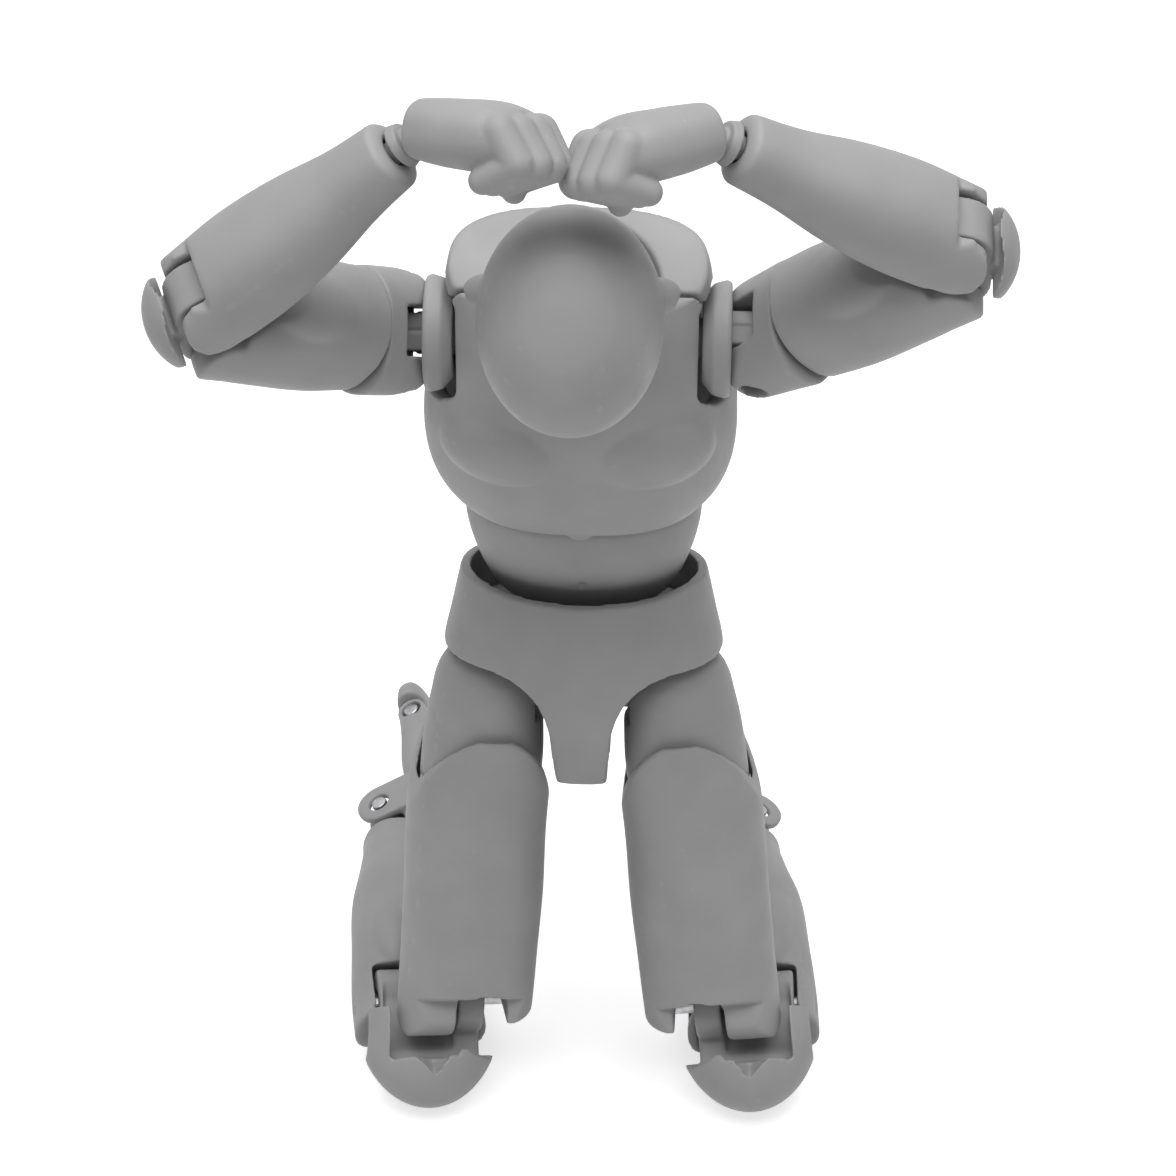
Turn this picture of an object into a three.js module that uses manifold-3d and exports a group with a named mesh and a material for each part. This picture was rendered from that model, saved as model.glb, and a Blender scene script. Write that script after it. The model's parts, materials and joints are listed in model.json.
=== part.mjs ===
import * as THREE from 'three';
import { mergeVertices } from 'three/addons/utils/BufferGeometryUtils.js';
import Module from 'manifold-3d';

// Jointed drawing figure, kneeling with the fists together over the bowed head.
// Lengths are millimetres, angles degrees. The figure faces -Y with +Z up,
// so its own right side is at -X.

const wasm = await Module();
wasm.setup();

// Clearances
const GAP = 0.3;
const SWING_GAP = 0.45;
const CUT = 30;

// Trunk
const WAIST_HEIGHT = 13.5;
const WAIST_BACK = 1;
const WAIST_TO_CHEST = 13;
const SHOULDER_HEIGHT = 18.9;
const SHOULDER_PIN_X = 13.9;
const NECK_BASE_HEIGHT = 22.4;
const NECK_BASE_BACK = 1.5;
const NECK_LENGTH = 7.2;
const HEAD_JOINT_DROP = 4.8;
const HEAD_FORWARD = 2.2;

// Head and neck
const HEAD_WIDTH = 13.9;
const HEAD_DEPTH = 17.2;
const HEAD_CROWN = 9.9;
const HEAD_CHIN = 9.7;
const EAR_HEIGHT = 4.2;
const EAR_STAND = 0.9;
const NECK_WIDTH = 7.6;
const NECK_DEPTH = 8.4;
const NECK_DROP = 3.2;
const NECK_TOP_Y = -0.6;
const NECK_ROOM = 1.4;
const NECK_ROOM_LOW = 2.4;
const NECK_ROOM_FLARE = 3.6;
const HEAD_SEAT_HEIGHT = 1.4;
const HEAD_PEG = 5.6;

// Chest and abdomen
const CHEST_WIDTH = 25.6;
const CHEST_FRONT = 8.9;
const CHEST_BACK = 8.2;
const CHEST_RIM = -0.7;
const COLLAR_RISE = 3;
const CHEST_WALL = 1.3;
const ABDOMEN_WIDTH = 20.4;
const ABDOMEN_DEPTH = 12.8;
const ABDOMEN_BELOW = 4;
const ABDOMEN_ABOVE = 11.6;
const CHEST_STEM = 8.6;
const WAIST_STEM_SEAT = 1.5;
const CHEST_SOCKET_SPAN = 1.4;
const YOKE_BELOW = 3.6;
const YOKE_ABOVE = 2.8;
const YOKE_DEPTH = 8.4;
const SPINE_WIDTH = 8.8;
const AXLE_END = 6.1;

// Pelvis
const PELVIS_WIDTH = 25;
const PELVIS_FRONT = 7.9;
const PELVIS_BACK = 8.8;
const PELVIS_TOP = 12.2;
const PELVIS_SIDE_EDGE = 4.5;
const PELVIS_BOTTOM = -8.6;
const PELVIS_WALL = 1.2;
const RIM_DIP = 0.9;
const RIM_DIP_WIDTH = 19;
const STRAP_WIDTH = 5.2;
const LEG_ARCH = 5.8;
const HIP_X = 8.5;

// Ball pegs
const TRUNK_BALL = 2.7;
const TRUNK_STEM = 1.5;
const NECK_BALL = 2.3;
const NECK_STEM = 1.3;
const WRIST_BALL = 1.4;
const WRIST_STEM = 0.9;
const ANKLE_BALL = 2.3;
const ANKLE_STEM = 1.3;
const PIN_RADIUS = 0.8;
const PIN_SEAT = 1.3;
const CAP_BASE = 1;
const CAP_FULLNESS = 1.15;
const WEB_MARGIN = 1.1;

// Arm
const CUP_RADIUS = 4.7;
const CUP_DEPTH = 2.3;
const CUP_WALL = 0.8;
const SHOULDER_AXLE = 1.7;
const SHOULDER_TANG = 3;
const SHOULDER_TANG_RADIUS = 2.1;
const DELTOID_LENGTH = 5;
const DELTOID_WIDTH = 10.2;
const ARM_STEM = 1.6;
const ARM_STEM_LENGTH = 5;
const UPPER_ARM_LENGTH = 18.9;
const UPPER_ARM_DEPTH = 10.8;
const UPPER_ARM_WIDTH = 9.2;
const ELBOW_PIN_GAP = 4.4;
const ELBOW_ARM_RADIUS = 2.9;
const ELBOW_LINK_WIDTH = 3.4;
const ELBOW_CAP_WIDTH = 8;
const ELBOW_CAP_REACH = 5;
const ELBOW_CAP_HEIGHT = 8.6;
const FOREARM_LENGTH = 19.8;
const FOREARM_WIDTH = 8.4;
const WRIST_WIDTH = 5;
const WRIST_REACH = 2.6;
const WRIST_STEM_LENGTH = 7;
const HAND_LENGTH = 10.4;
const HAND_WIDTH = 7.6;
const HAND_THICKNESS = 5;
const HAND_HEEL = 0.8;

// Leg
const HIP_DOME = 5;
const HIP_AXLE = 1.8;
const HIP_TANG = 3.4;
const HIP_TANG_RADIUS = 2.6;
const THIGH_TOP_LENGTH = 12;
const THIGH_TOP_RADIUS = 5.5;
const THIGH_SLEEVE = 0.6;
const THIGH_RIM_DROP = 2.8;
const THIGH_RIM_ARCH = 13;
const THIGH_RIM_MARGIN = 0.4;
const THIGH_STEM = 2.1;
const THIGH_STEM_LENGTH = 6;
const THIGH_LENGTH = 34;
const THIGH_WIDTH = 12.8;
const THIGH_DEPTH = 13.4;
const KNEE_PIN_GAP = 5.2;
const KNEE_PIN_SETBACK = 1.4;
const KNEE_OUTWARD = 2.6;
const KNEE_SLOT_SPARE = 1.2;
const KNEE_ARM_STEP = 1.2;
const KNEE_TONGUE = 4.4;
const KNEE_TONGUE_OUT = 0.4;
const KNEE_ARM_RADIUS = 3.3;
const KNEE_LINK_WIDTH = 11.6;
const KNEE_CAP_REACH = 10.2;
const KNEE_CAP_HEIGHT = 11.9;
const KNEE_CAP_EDGE = 0.3;
const SHIN_LENGTH = 27.4;
const SHIN_WIDTH = 11.8;
const CALF_DEPTH = 12;
const ANKLE_WIDTH = 7;
const ANKLE_STEM_LENGTH = 8;
const FOOT_FRONT = 12.2;
const FOOT_HEEL = 5.6;
const FOOT_WIDTH = 8.4;
const ANKLE_HEIGHT = 7.6;
const TOE_LENGTH = 5.4;
const TOE_THICKNESS = 3.4;
const TOE_KNUCKLE = 1.5;
const TOE_KNUCKLE_HALF = 1.8;

// Places that follow from the sizes
const CHEST_TOP = NECK_BASE_HEIGHT + COLLAR_RISE;
const BLOCK_TOP = WAIST_HEIGHT - TRUNK_BALL * 2.2;
const BLOCK_STEP = HIP_DOME + 2 * GAP;
const BLOCK_HALF = STRAP_WIDTH / 2;
const WAIST_STEM = WAIST_HEIGHT - BLOCK_STEP + WAIST_STEM_SEAT;
const BLOCK_LOW = TRUNK_BALL + CHEST_SOCKET_SPAN;
const CUP_FACE = SHOULDER_PIN_X - SHOULDER_TANG_RADIUS + GAP;
const CUP_BACK = CUP_FACE - CUP_DEPTH;
const HEAD_JOINT_Z = NECK_DROP + NECK_LENGTH + HEAD_SEAT_HEIGHT;
const ELBOW_SLOT = ELBOW_LINK_WIDTH / 2 + GAP;
const ELBOW_PIN_HALF = ELBOW_SLOT + PIN_SEAT;
const KNEE_TONGUE_LOW = KNEE_TONGUE_OUT - KNEE_TONGUE / 2;
const KNEE_LINK_OUT = KNEE_LINK_WIDTH / 2;
const KNEE_LINK_IN = -KNEE_LINK_WIDTH / 2 + KNEE_ARM_STEP;
const KNEE_HUB_OUT = KNEE_LINK_OUT - KNEE_ARM_STEP;
const TOE_HINGE_HEIGHT = ANKLE_HEIGHT - TOE_THICKNESS / 2;
const KNEE_SLOT_IN = KNEE_LINK_IN - GAP - KNEE_SLOT_SPARE;
const KNEE_PIN_IN = KNEE_SLOT_IN - PIN_SEAT;
const KNEE_PIN_OUT = KNEE_TONGUE_LOW + 2 * PIN_SEAT;
const HIP_PIN_HALF = HIP_TANG / 2 + GAP + PIN_SEAT;

// Pose in the photograph, in degrees
const PELVIS_LEAN = -11.6;
const WAIST_BEND = 27;
const CHEST_BEND = 10;
const NECK_BEND = 16;
const HEAD_NOD = 19;
const ARM_POSE = {
  right: { swing: 29.5, raise: 135.8, twist: 122, elbow: 102.6, turn: 14, wrist: 39.9 },
  left: { swing: 2.9, raise: 129.8, twist: 92, elbow: 106.8, turn: 27, wrist: 32.6 },
};
const LEG_POSE = {
  right: { flex: 0, spread: 5.2, twist: 12.5, knee: 97.5, turn: 60, ankle: 87 },
  left: { flex: 0, spread: 7.4, twist: 1, knee: 97, turn: 60, ankle: 87 },
};

const X_AXIS = new THREE.Vector3(1, 0, 0);
const Y_AXIS = new THREE.Vector3(0, 1, 0);
const Z_AXIS = new THREE.Vector3(0, 0, 1);

// Finishes
const plastic = (shade, roughness) =>
  new THREE.MeshStandardMaterial({ color: new THREE.Color(shade, shade, shade), roughness, metalness: 0 });
const BODY_GREY = plastic(0.36, 0.62);
const JOINT_GREY = plastic(0.31, 0.55);
const STEEL = new THREE.MeshStandardMaterial({ color: 0x8a8a8a, roughness: 0.35, metalness: 1 });

// Solids from geometry and back
function solid(geometry) {
  const bare = geometry.clone();
  bare.deleteAttribute('normal');
  bare.deleteAttribute('uv');
  const merged = mergeVertices(bare, 1e-5);
  const vertProperties = new Float32Array(merged.attributes.position.array);
  const triVerts = new Uint32Array(merged.index.array);
  return new wasm.Manifold(new wasm.Mesh({ numProp: 3, vertProperties, triVerts }));
}

function geometryOf(body) {
  const mesh = body.getMesh();
  const geometry = new THREE.BufferGeometry();
  geometry.setAttribute('position', new THREE.BufferAttribute(new Float32Array(mesh.vertProperties), 3));
  geometry.setIndex(new THREE.BufferAttribute(new Uint32Array(mesh.triVerts), 1));
  return geometry;
}

const join = (...bodies) => bodies.reduce((all, next) => all.add(next));
const cut = (body, ...tools) => tools.reduce((rest, tool) => rest.subtract(tool), body);

// Primitive solids, centred where asked
function ball(radius, x = 0, y = 0, z = 0, segments = 12) {
  const sphere = new THREE.SphereGeometry(radius, segments, Math.round(segments * 0.6));
  return solid(sphere.rotateX(Math.PI / 2).translate(x, y, z));
}

function ellipsoid(rx, ry, rz, x = 0, y = 0, z = 0, segments = 12) {
  const sphere = new THREE.SphereGeometry(1, segments, Math.round(segments * 0.6));
  return solid(sphere.rotateX(Math.PI / 2).scale(rx, ry, rz).translate(x, y, z));
}

function box(x0, x1, y0, y1, z0, z1) {
  const block = new THREE.BoxGeometry(x1 - x0, y1 - y0, z1 - z0);
  return solid(block.translate((x0 + x1) / 2, (y0 + y1) / 2, (z0 + z1) / 2));
}

// Round bars along one axis, between two values on it
function barX(radius, x0, x1, y = 0, z = 0, segments = 10) {
  const bar = new THREE.CylinderGeometry(radius, radius, x1 - x0, segments).rotateZ(Math.PI / 2);
  return solid(bar.translate((x0 + x1) / 2, y, z));
}

function barY(radius, y0, y1, x = 0, z = 0, segments = 10) {
  return solid(new THREE.CylinderGeometry(radius, radius, y1 - y0, segments).translate(x, (y0 + y1) / 2, z));
}

function barZ(radius, z0, z1, x = 0, y = 0, topRadius = radius, segments = 10) {
  const bar = new THREE.CylinderGeometry(topRadius, radius, z1 - z0, segments).rotateX(Math.PI / 2);
  return solid(bar.translate(x, y, (z0 + z1) / 2));
}

// Flat outline in the YZ plane, given real thickness along X
function plateX(shape, x0, x1) {
  const plate = new THREE.ExtrudeGeometry(shape, { depth: x1 - x0, bevelEnabled: false, curveSegments: 5 });
  const turned = plate.applyMatrix4(new THREE.Matrix4().makeBasis(Y_AXIS, Z_AXIS, X_AXIS));
  return solid(turned.translate(x0, 0, 0));
}

// Flat outline in the XZ plane, given real thickness along Y
function plateY(shape, y0, y1) {
  const plate = new THREE.ExtrudeGeometry(shape, { depth: y1 - y0, bevelEnabled: false, curveSegments: 5 });
  return solid(plate.rotateX(Math.PI / 2).translate(0, y1, 0));
}

// Round-ended bar outline between two points of a plane
function stadium(radius, a0, a1) {
  const shape = new THREE.Shape();
  shape.absarc(0, a1, radius, 0, Math.PI, false);
  shape.absarc(0, a0, radius, Math.PI, 2 * Math.PI, false);
  shape.closePath();
  return shape;
}

// Ring sector outline between two radii, angles in degrees
function sector(inner, outer, from, to) {
  const shape = new THREE.Shape();
  const a = THREE.MathUtils.degToRad(from);
  const b = THREE.MathUtils.degToRad(to);
  shape.absarc(0, 0, outer, a, b, false);
  shape.absarc(0, 0, inner, b, a, true);
  shape.closePath();
  return shape;
}

// Body form lofted through stations [z, middle y, inner, outer, front, back].
// Inner is towards the middle of the figure; capped ends are rounded over.
function form(stations, { side = 1, capLow = 0, capHigh = 0, rings = 8, sides = 18, square = 0.9 } = {}) {
  const sorted = [...stations].sort((a, b) => a[0] - b[0]);
  const heights = sorted.map((station) => station[0]);
  const values = sorted.flatMap((station) => station.slice(1));
  const curve = new THREE.CubicInterpolant(heights, values, 5, new Float32Array(5));
  const low = heights[0];
  const high = heights.at(-1);
  const levels = [];
  const capRings = 3;
  for (let i = 0; i < capRings && capLow > 0; i += 1) {
    const angle = (Math.PI / 2) * (i / capRings);
    levels.push([low + capLow * (1 - Math.cos(angle)), Math.sin(angle)]);
  }
  for (let i = 0; i <= rings; i += 1) {
    levels.push([low + capLow + ((high - capHigh - low - capLow) * i) / rings, 1]);
  }
  for (let i = capRings - 1; i >= 0 && capHigh > 0; i -= 1) {
    const angle = (Math.PI / 2) * (i / capRings);
    levels.push([high - capHigh * (1 - Math.cos(angle)), Math.sin(angle)]);
  }
  const points = [];
  const rows = [];
  for (const [z, scale] of levels) {
    const [middle, inner, outer, front, back] = curve.evaluate(z);
    if (scale === 0) {
      rows.push([points.length / 3]);
      points.push(0, middle, z);
      continue;
    }
    rows.push(Array.from({ length: sides }, (unused, k) => points.length / 3 + k));
    for (let k = 0; k < sides; k += 1) {
      const angle = (2 * Math.PI * k) / sides;
      const c = Math.cos(angle);
      const s = Math.sin(angle);
      const across = Math.sign(c) * Math.abs(c) ** square * (c > 0 ? outer : inner);
      const along = Math.sign(s) * Math.abs(s) ** square * (s > 0 ? back : front);
      points.push(side * scale * across, middle + scale * along, z);
    }
  }
  return solid(skin(points, rows, side));
}

// Skin over rings of point numbers, closed at both ends
function skin(points, rows, side) {
  const faces = [];
  const face = (a, b, c) => faces.push(...(side > 0 ? [a, b, c] : [a, c, b]));
  const fan = (row, up) => {
    for (let k = 1; k < row.length - 1; k += 1) {
      face(row[0], up ? row[k] : row[k + 1], up ? row[k + 1] : row[k]);
    }
  };
  fan(rows[0], false);
  fan(rows.at(-1), true);
  for (let i = 0; i < rows.length - 1; i += 1) {
    const lower = rows[i];
    const upper = rows[i + 1];
    const count = Math.max(lower.length, upper.length);
    for (let k = 0; k < count; k += 1) {
      const next = (k + 1) % count;
      if (lower.length === 1) {
        face(lower[0], upper[next], upper[k]);
      } else if (upper.length === 1) {
        face(lower[k], lower[next], upper[0]);
      } else {
        face(lower[k], lower[next], upper[next]);
        face(lower[k], upper[next], upper[k]);
      }
    }
  }
  const geometry = new THREE.BufferGeometry();
  geometry.setAttribute('position', new THREE.Float32BufferAttribute(points, 3));
  geometry.setIndex(faces);
  return geometry;
}

// Scene graph helpers
function add(group, name, body, material) {
  const mesh = new THREE.Mesh(geometryOf(body), material.clone());
  mesh.name = name;
  group.add(mesh);
}

// A joint's moving frame: it sits at a place in its parent and turns about an axis
function turn(parent, name, place, axis, degrees) {
  const group = new THREE.Group();
  group.name = name;
  group.userData.axis = axis;
  group.position.set(...place);
  group.quaternion.setFromAxisAngle(axis, THREE.MathUtils.degToRad(degrees));
  parent.add(group);
  return group;
}

// Ball on a stem; the ball's centre is the origin and the stem hangs down
function ballPeg(radius, stem, length) {
  return join(ball(radius), barZ(stem, -length, -radius * 0.6));
}

function socketFor(radius, stem, x = 0, y = 0, z = 0) {
  const mouth = radius * 0.92;
  return join(
    ball(radius + GAP, x, y, z),
    barZ(mouth + radius * 2.2, z - radius * 2.6, z - radius * 0.35, x, y, mouth),
    barZ(stem + GAP, z - CUT, z, x, y),
  );
}

// Pelvis: a thin brief-shaped cover over the block that carries the hips
function pelvisForm(inset) {
  const half = PELVIS_WIDTH / 2 - inset;
  const front = PELVIS_FRONT - inset;
  const back = PELVIS_BACK - inset;
  const low = PELVIS_BOTTOM + inset;
  const height = PELVIS_TOP - PELVIS_BOTTOM;
  const top = inset > 0 ? PELVIS_TOP + 1 : PELVIS_TOP;
  const share = (amount) => PELVIS_BOTTOM + height * amount;
  return form([
    [low, -0.8, half * 0.3, half * 0.3, front * 0.28, back * 0.22],
    [share(0.17), -0.5, half * 0.62, half * 0.62, front * 0.62, back * 0.6],
    [share(0.4), 0, half * 0.94, half * 0.94, front * 0.93, back * 0.95],
    [share(0.61), 0, half, half, front, back],
    [share(0.8), 0, half * 0.94, half * 0.94, front * 0.97, back * 0.95],
    [top, 0, half * 0.87, half * 0.87, front * 0.88, back * 0.78],
  ], { rings: 5, sides: 18 });
}

function legArch(side) {
  const arch = new THREE.Shape();
  const strap = STRAP_WIDTH / 2;
  const springing = PELVIS_SIDE_EDGE - LEG_ARCH;
  arch.moveTo(side * strap, -CUT);
  arch.lineTo(side * strap, springing);
  const centre = side * (strap + LEG_ARCH);
  arch.absarc(centre, springing, LEG_ARCH, side > 0 ? Math.PI : 0, Math.PI / 2, side > 0);
  arch.lineTo(side * CUT, PELVIS_SIDE_EDGE);
  arch.lineTo(side * CUT, -CUT);
  arch.closePath();
  return plateY(arch, -CUT, CUT);
}

// Shallow dips in the front and back of the rim, between horns at the sides
function rimDip() {
  const radius = ((RIM_DIP_WIDTH / 2) ** 2 + RIM_DIP ** 2) / (2 * RIM_DIP);
  return barY(radius, -CUT, CUT, 0, PELVIS_TOP - RIM_DIP + radius, 48);
}

function pelvisShell() {
  return cut(pelvisForm(0), pelvisForm(PELVIS_WALL), legArch(1), legArch(-1), rimDip());
}

function pelvisBlock() {
  const inside = pelvisForm(PELVIS_WALL + GAP);
  const upper = inside.intersect(box(-CUT, CUT, -CUT, CUT, BLOCK_STEP, BLOCK_TOP));
  const core = inside.intersect(box(-BLOCK_HALF, BLOCK_HALF, -CUT, CUT, -4.5, BLOCK_TOP));
  const stemHole = barZ(TRUNK_STEM + GAP, WAIST_HEIGHT - WAIST_STEM - GAP, CUT, 0, WAIST_BACK);
  const axleReach = BLOCK_HALF - 1.2;
  const axleHoles = [1, -1].map((side) => {
    const ends = [side * axleReach, side * CUT].sort((a, b) => a - b);
    return barX(HIP_AXLE + GAP, ends[0], ends[1]);
  });
  return cut(join(upper, core), stemHole, ...axleHoles);
}

// Abdomen: sits on the waist ball, carries the chest ball's stem
function abdomen() {
  const half = ABDOMEN_WIDTH / 2;
  const deep = ABDOMEN_DEPTH / 2;
  const body = form([
    [-ABDOMEN_BELOW, -0.3, half * 0.74, half * 0.74, deep * 0.74, deep * 0.64],
    [0, -0.2, half * 0.88, half * 0.88, deep * 0.87, deep * 0.8],
    [ABDOMEN_ABOVE * 0.5, 0, half, half, deep, deep],
    [ABDOMEN_ABOVE, 0, half * 0.98, half * 0.98, deep * 0.95, deep * 0.95],
  ], { capLow: 2.2, capHigh: 3, rings: 3, sides: 14 });
  const chestStemHole = barZ(TRUNK_STEM + GAP, WAIST_TO_CHEST - CHEST_STEM - GAP, CUT);
  const ballRoom = ball(TRUNK_BALL + GAP, 0, 0, WAIST_TO_CHEST);
  return cut(body, socketFor(TRUNK_BALL, TRUNK_STEM), chestStemHole, ballRoom);
}

// Chest: front and back shells round a block that carries shoulders and neck
function chestForm(inset) {
  const half = CHEST_WIDTH / 2 - inset;
  const front = CHEST_FRONT - inset;
  const back = CHEST_BACK - inset;
  const height = CHEST_TOP - inset - CHEST_RIM;
  const share = (amount) => CHEST_RIM + height * amount;
  const low = inset > 0 ? CHEST_RIM - 1 : CHEST_RIM;
  return form([
    [low, 0, half * 0.86, half * 0.86, front * 0.86, back * 0.84],
    [share(0.12), 0, half * 0.95, half * 0.95, front * 0.95, back * 0.92],
    [share(0.42), 0, half, half, front, back * 0.98],
    [share(0.62), 0, half * 0.93, half * 0.93, front * 0.95, back],
    [share(0.8), 0.4, half * 0.84, half * 0.84, front * 0.78, back],
    [share(0.93), 1, half * 0.82, half * 0.82, front * 0.56, back * 0.92],
    [share(1), 1.4, half * 0.79, half * 0.79, front * 0.42, back * 0.8],
  ], { rings: 6, sides: 18, square: 0.76 });
}

function shoulderOpenings(clearance) {
  return [1, -1].map((side) => {
    const ends = [side * (CUP_BACK - clearance), side * CUT].sort((a, b) => a - b);
    return barX(CUP_RADIUS + SWING_GAP, ends[0], ends[1], 0, SHOULDER_HEIGHT, 20);
  });
}

function neckOpening() {
  const low = NECK_WIDTH / 2 + NECK_ROOM;
  return barZ(low, NECK_BASE_HEIGHT - NECK_ROOM_LOW, CUT, 0, NECK_BASE_BACK - 0.9, low + NECK_ROOM_FLARE);
}

function chestShell(isFront) {
  const [y0, y1] = isFront ? [-CUT, -GAP / 2] : [GAP / 2, CUT];
  const halfSpace = box(-CUT, CUT, y0, y1, -CUT, CUT);
  const hollow = chestForm(CHEST_WALL);
  const axleHole = barX(SHOULDER_AXLE + SWING_GAP, -CUT, CUT, 0, SHOULDER_HEIGHT);
  return cut(chestForm(0), hollow, ...shoulderOpenings(GAP), axleHole, neckOpening()).intersect(halfSpace);
}

function chestBlock() {
  const inside = chestForm(CHEST_WALL + GAP);
  const spine = box(-SPINE_WIDTH / 2, SPINE_WIDTH / 2, -CUT, CUT, 0, CHEST_TOP);
  const yokeLow = SHOULDER_HEIGHT - YOKE_BELOW;
  const yoke = box(-CUT, CUT, -YOKE_DEPTH / 2, YOKE_DEPTH / 2, yokeLow, SHOULDER_HEIGHT + YOKE_ABOVE);
  const body = inside.intersect(join(spine, yoke));
  const axleHoles = [1, -1].map((side) => {
    const ends = [side * (AXLE_END - GAP), side * CUT].sort((a, b) => a - b);
    return barX(SHOULDER_AXLE + GAP, ends[0], ends[1], 0, SHOULDER_HEIGHT);
  });
  const trunkSocket = socketFor(TRUNK_BALL, TRUNK_STEM);
  const abdomenRoom = box(-CUT, CUT, -CUT, CUT, -CUT, BLOCK_LOW - TRUNK_BALL * 1.2);
  const neckSocket = join(
    ball(NECK_BALL + GAP, 0, NECK_BASE_BACK, NECK_BASE_HEIGHT - NECK_DROP),
    barZ(NECK_BALL * 0.9, NECK_BASE_HEIGHT - NECK_DROP, CUT, 0, NECK_BASE_BACK, NECK_BALL * 3),
  );
  const openings = [...shoulderOpenings(GAP), ...axleHoles, neckOpening()];
  return cut(body, trunkSocket, abdomenRoom, neckSocket, ...openings);
}

// Neck: a ball below, a hole for the head peg's stem above
function neck() {
  const half = NECK_WIDTH / 2;
  const deep = NECK_DEPTH / 2;
  const column = form([
    [NECK_DROP - 0.6, 0, half, half, deep, deep],
    [NECK_DROP + NECK_LENGTH * 0.45, 0, half * 0.94, half * 0.94, deep * 0.94, deep * 0.94],
    [NECK_DROP + NECK_LENGTH, -0.6, half * 0.9, half * 0.9, deep * 0.9, deep * 0.9],
  ], { capLow: 0.8, capHigh: 1.6, rings: 2, sides: 12 });
  const root = join(ball(NECK_BALL), barZ(NECK_STEM + 0.3, 0, NECK_DROP + 0.6));
  const pegHole = barZ(NECK_STEM + GAP, HEAD_JOINT_Z - HEAD_PEG - GAP, CUT, 0, NECK_TOP_Y);
  const ballRoom = ball(NECK_BALL + GAP, 0, NECK_TOP_Y, HEAD_JOINT_Z);
  return cut(join(column, root), pegHole, ballRoom);
}

// Head: a featureless egg with two small ears, its origin at the head joint
function head() {
  const half = HEAD_WIDTH / 2;
  const front = HEAD_DEPTH * 0.52;
  const back = HEAD_DEPTH * 0.48;
  const up = HEAD_JOINT_DROP;
  const egg = form([
    [up - HEAD_CHIN, -4.6, half * 0.34, half * 0.34, 3.2, 3.6],
    [up - HEAD_CHIN * 0.72, -2.2, half * 0.64, half * 0.64, front * 0.7, back * 0.62],
    [up - HEAD_CHIN * 0.3, -0.2, half * 0.88, half * 0.88, front * 0.93, back * 0.9],
    [up + HEAD_CROWN * 0.15, 0, half, half, front, back],
    [up + HEAD_CROWN * 0.5, 0.2, half * 0.93, half * 0.93, front * 0.93, back * 0.94],
    [up + HEAD_CROWN * 0.8, 0.6, half * 0.68, half * 0.68, front * 0.7, back * 0.7],
    [up + HEAD_CROWN, 0.9, half * 0.34, half * 0.34, front * 0.36, back * 0.36],
  ], { capLow: 1.4, capHigh: 1, rings: 6, sides: 16, square: 0.98 });
  const ears = [1, -1].map((side) =>
    ellipsoid(EAR_STAND + 0.8, 1.3, EAR_HEIGHT / 2, side * (half - 0.6), 1.6, up - 0.8, 8));
  const joined = join(egg, ...ears);
  const moved = new THREE.Matrix4().makeTranslation(0, -HEAD_FORWARD, 0);
  const placed = joined.transform(moved.toArray());
  const neckRoom = [-12, 0, 12, 24, 36].map((angle) =>
    barZ(NECK_DEPTH / 2 + SWING_GAP, -CUT, -1, 0, 0, NECK_DEPTH / 2 + GAP - 0.4).rotate([-angle, 0, 0]));
  return cut(placed, ball(NECK_BALL + GAP), ...neckRoom);
}

// Limb ends round two-pin joints, drawn with the pin on the X axis.
// Outward is away from the middle of the figure on either side, and
// beyond is -1 where the other limb lies below the pin, +1 where above.
const at = (body, x, y, z) => body.translate([x, y, z]);

function across(side, from, to) {
  return [side * from, side * to].sort((a, b) => a - b);
}

function sideBox(side, from, to, y0, y1, z0, z1) {
  return box(...across(side, from, to), y0, y1, z0, z1);
}

function sideBar(side, radius, from, to, y = 0, z = 0, segments = 12) {
  return barX(radius, ...across(side, from, to), y, z, segments);
}

function pinHole() {
  return barX(PIN_RADIUS + GAP, -CUT, CUT, 0, 0, 8);
}

// Pin holes closed at both ends
function blindHoleX(half) {
  return barX(PIN_RADIUS + GAP, -half - GAP, half + GAP, 0, 0, 8);
}

function blindHoleY(half) {
  return barY(PIN_RADIUS + GAP, -half - GAP, half + GAP, 0, 0, 8);
}

// Slot for one arm of a link, open beyond the pin
function armSlot(spec, side, from, to, beyond) {
  const radius = spec.armRadius + SWING_GAP;
  const open = beyond < 0 ? [-CUT, 0] : [0, CUT];
  const folded = sideBox(side, from, to, -radius, radius, ...open);
  return join(
    sideBar(side, radius, from, to),
    sideBox(side, from, to, -CUT, CUT, ...open),
    folded.rotate([beyond * spec.fore * spec.fold, 0, 0]),
  );
}

// Rounded tip of a limb's tongue, with a fuller nose on the side of the cap
function tip(spec, side, from, to, beyond, grow = 0) {
  const noseY = spec.fore * spec.nose;
  const noseZ = -beyond * spec.nose;
  return join(
    sideBar(side, spec.round + grow, from, to),
    sideBar(side, spec.noseRadius + grow, from, to, noseY, noseZ, 12),
  );
}

function tipTrim(spec, beyond) {
  const open = beyond < 0 ? [-CUT, spec.nose] : [-spec.nose, CUT];
  return cut(box(-CUT, CUT, -CUT, CUT, ...open), tip(spec, 1, -CUT, CUT, beyond));
}

// Everything past the middle of the joint when it is folded right up
function foldTrim(spec, beyond) {
  const near = (spec.pinGap - GAP) / 2;
  const open = beyond < 0 ? [-2 * CUT, -near] : [near, 2 * CUT];
  return box(-CUT, CUT, -CUT, CUT, ...open).rotate([beyond * spec.fore * spec.fold, 0, 0]);
}

// Room that the link's cap sweeps round a limb's end
function capRoom(spec, beyond) {
  const radius = spec.capInner - GAP;
  const edge = spec.capEdge;
  const sweep = spec.capSweep;
  const angles = {
    '-1-1': [180 - edge, 180 + sweep],
    '-11': [180 - sweep, 180 + edge],
    '1-1': [-sweep, edge],
    '11': [-edge, sweep],
  };
  return plateX(sector(radius, CUT, ...angles[`${spec.fore}${beyond}`]), -CUT, CUT);
}

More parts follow.
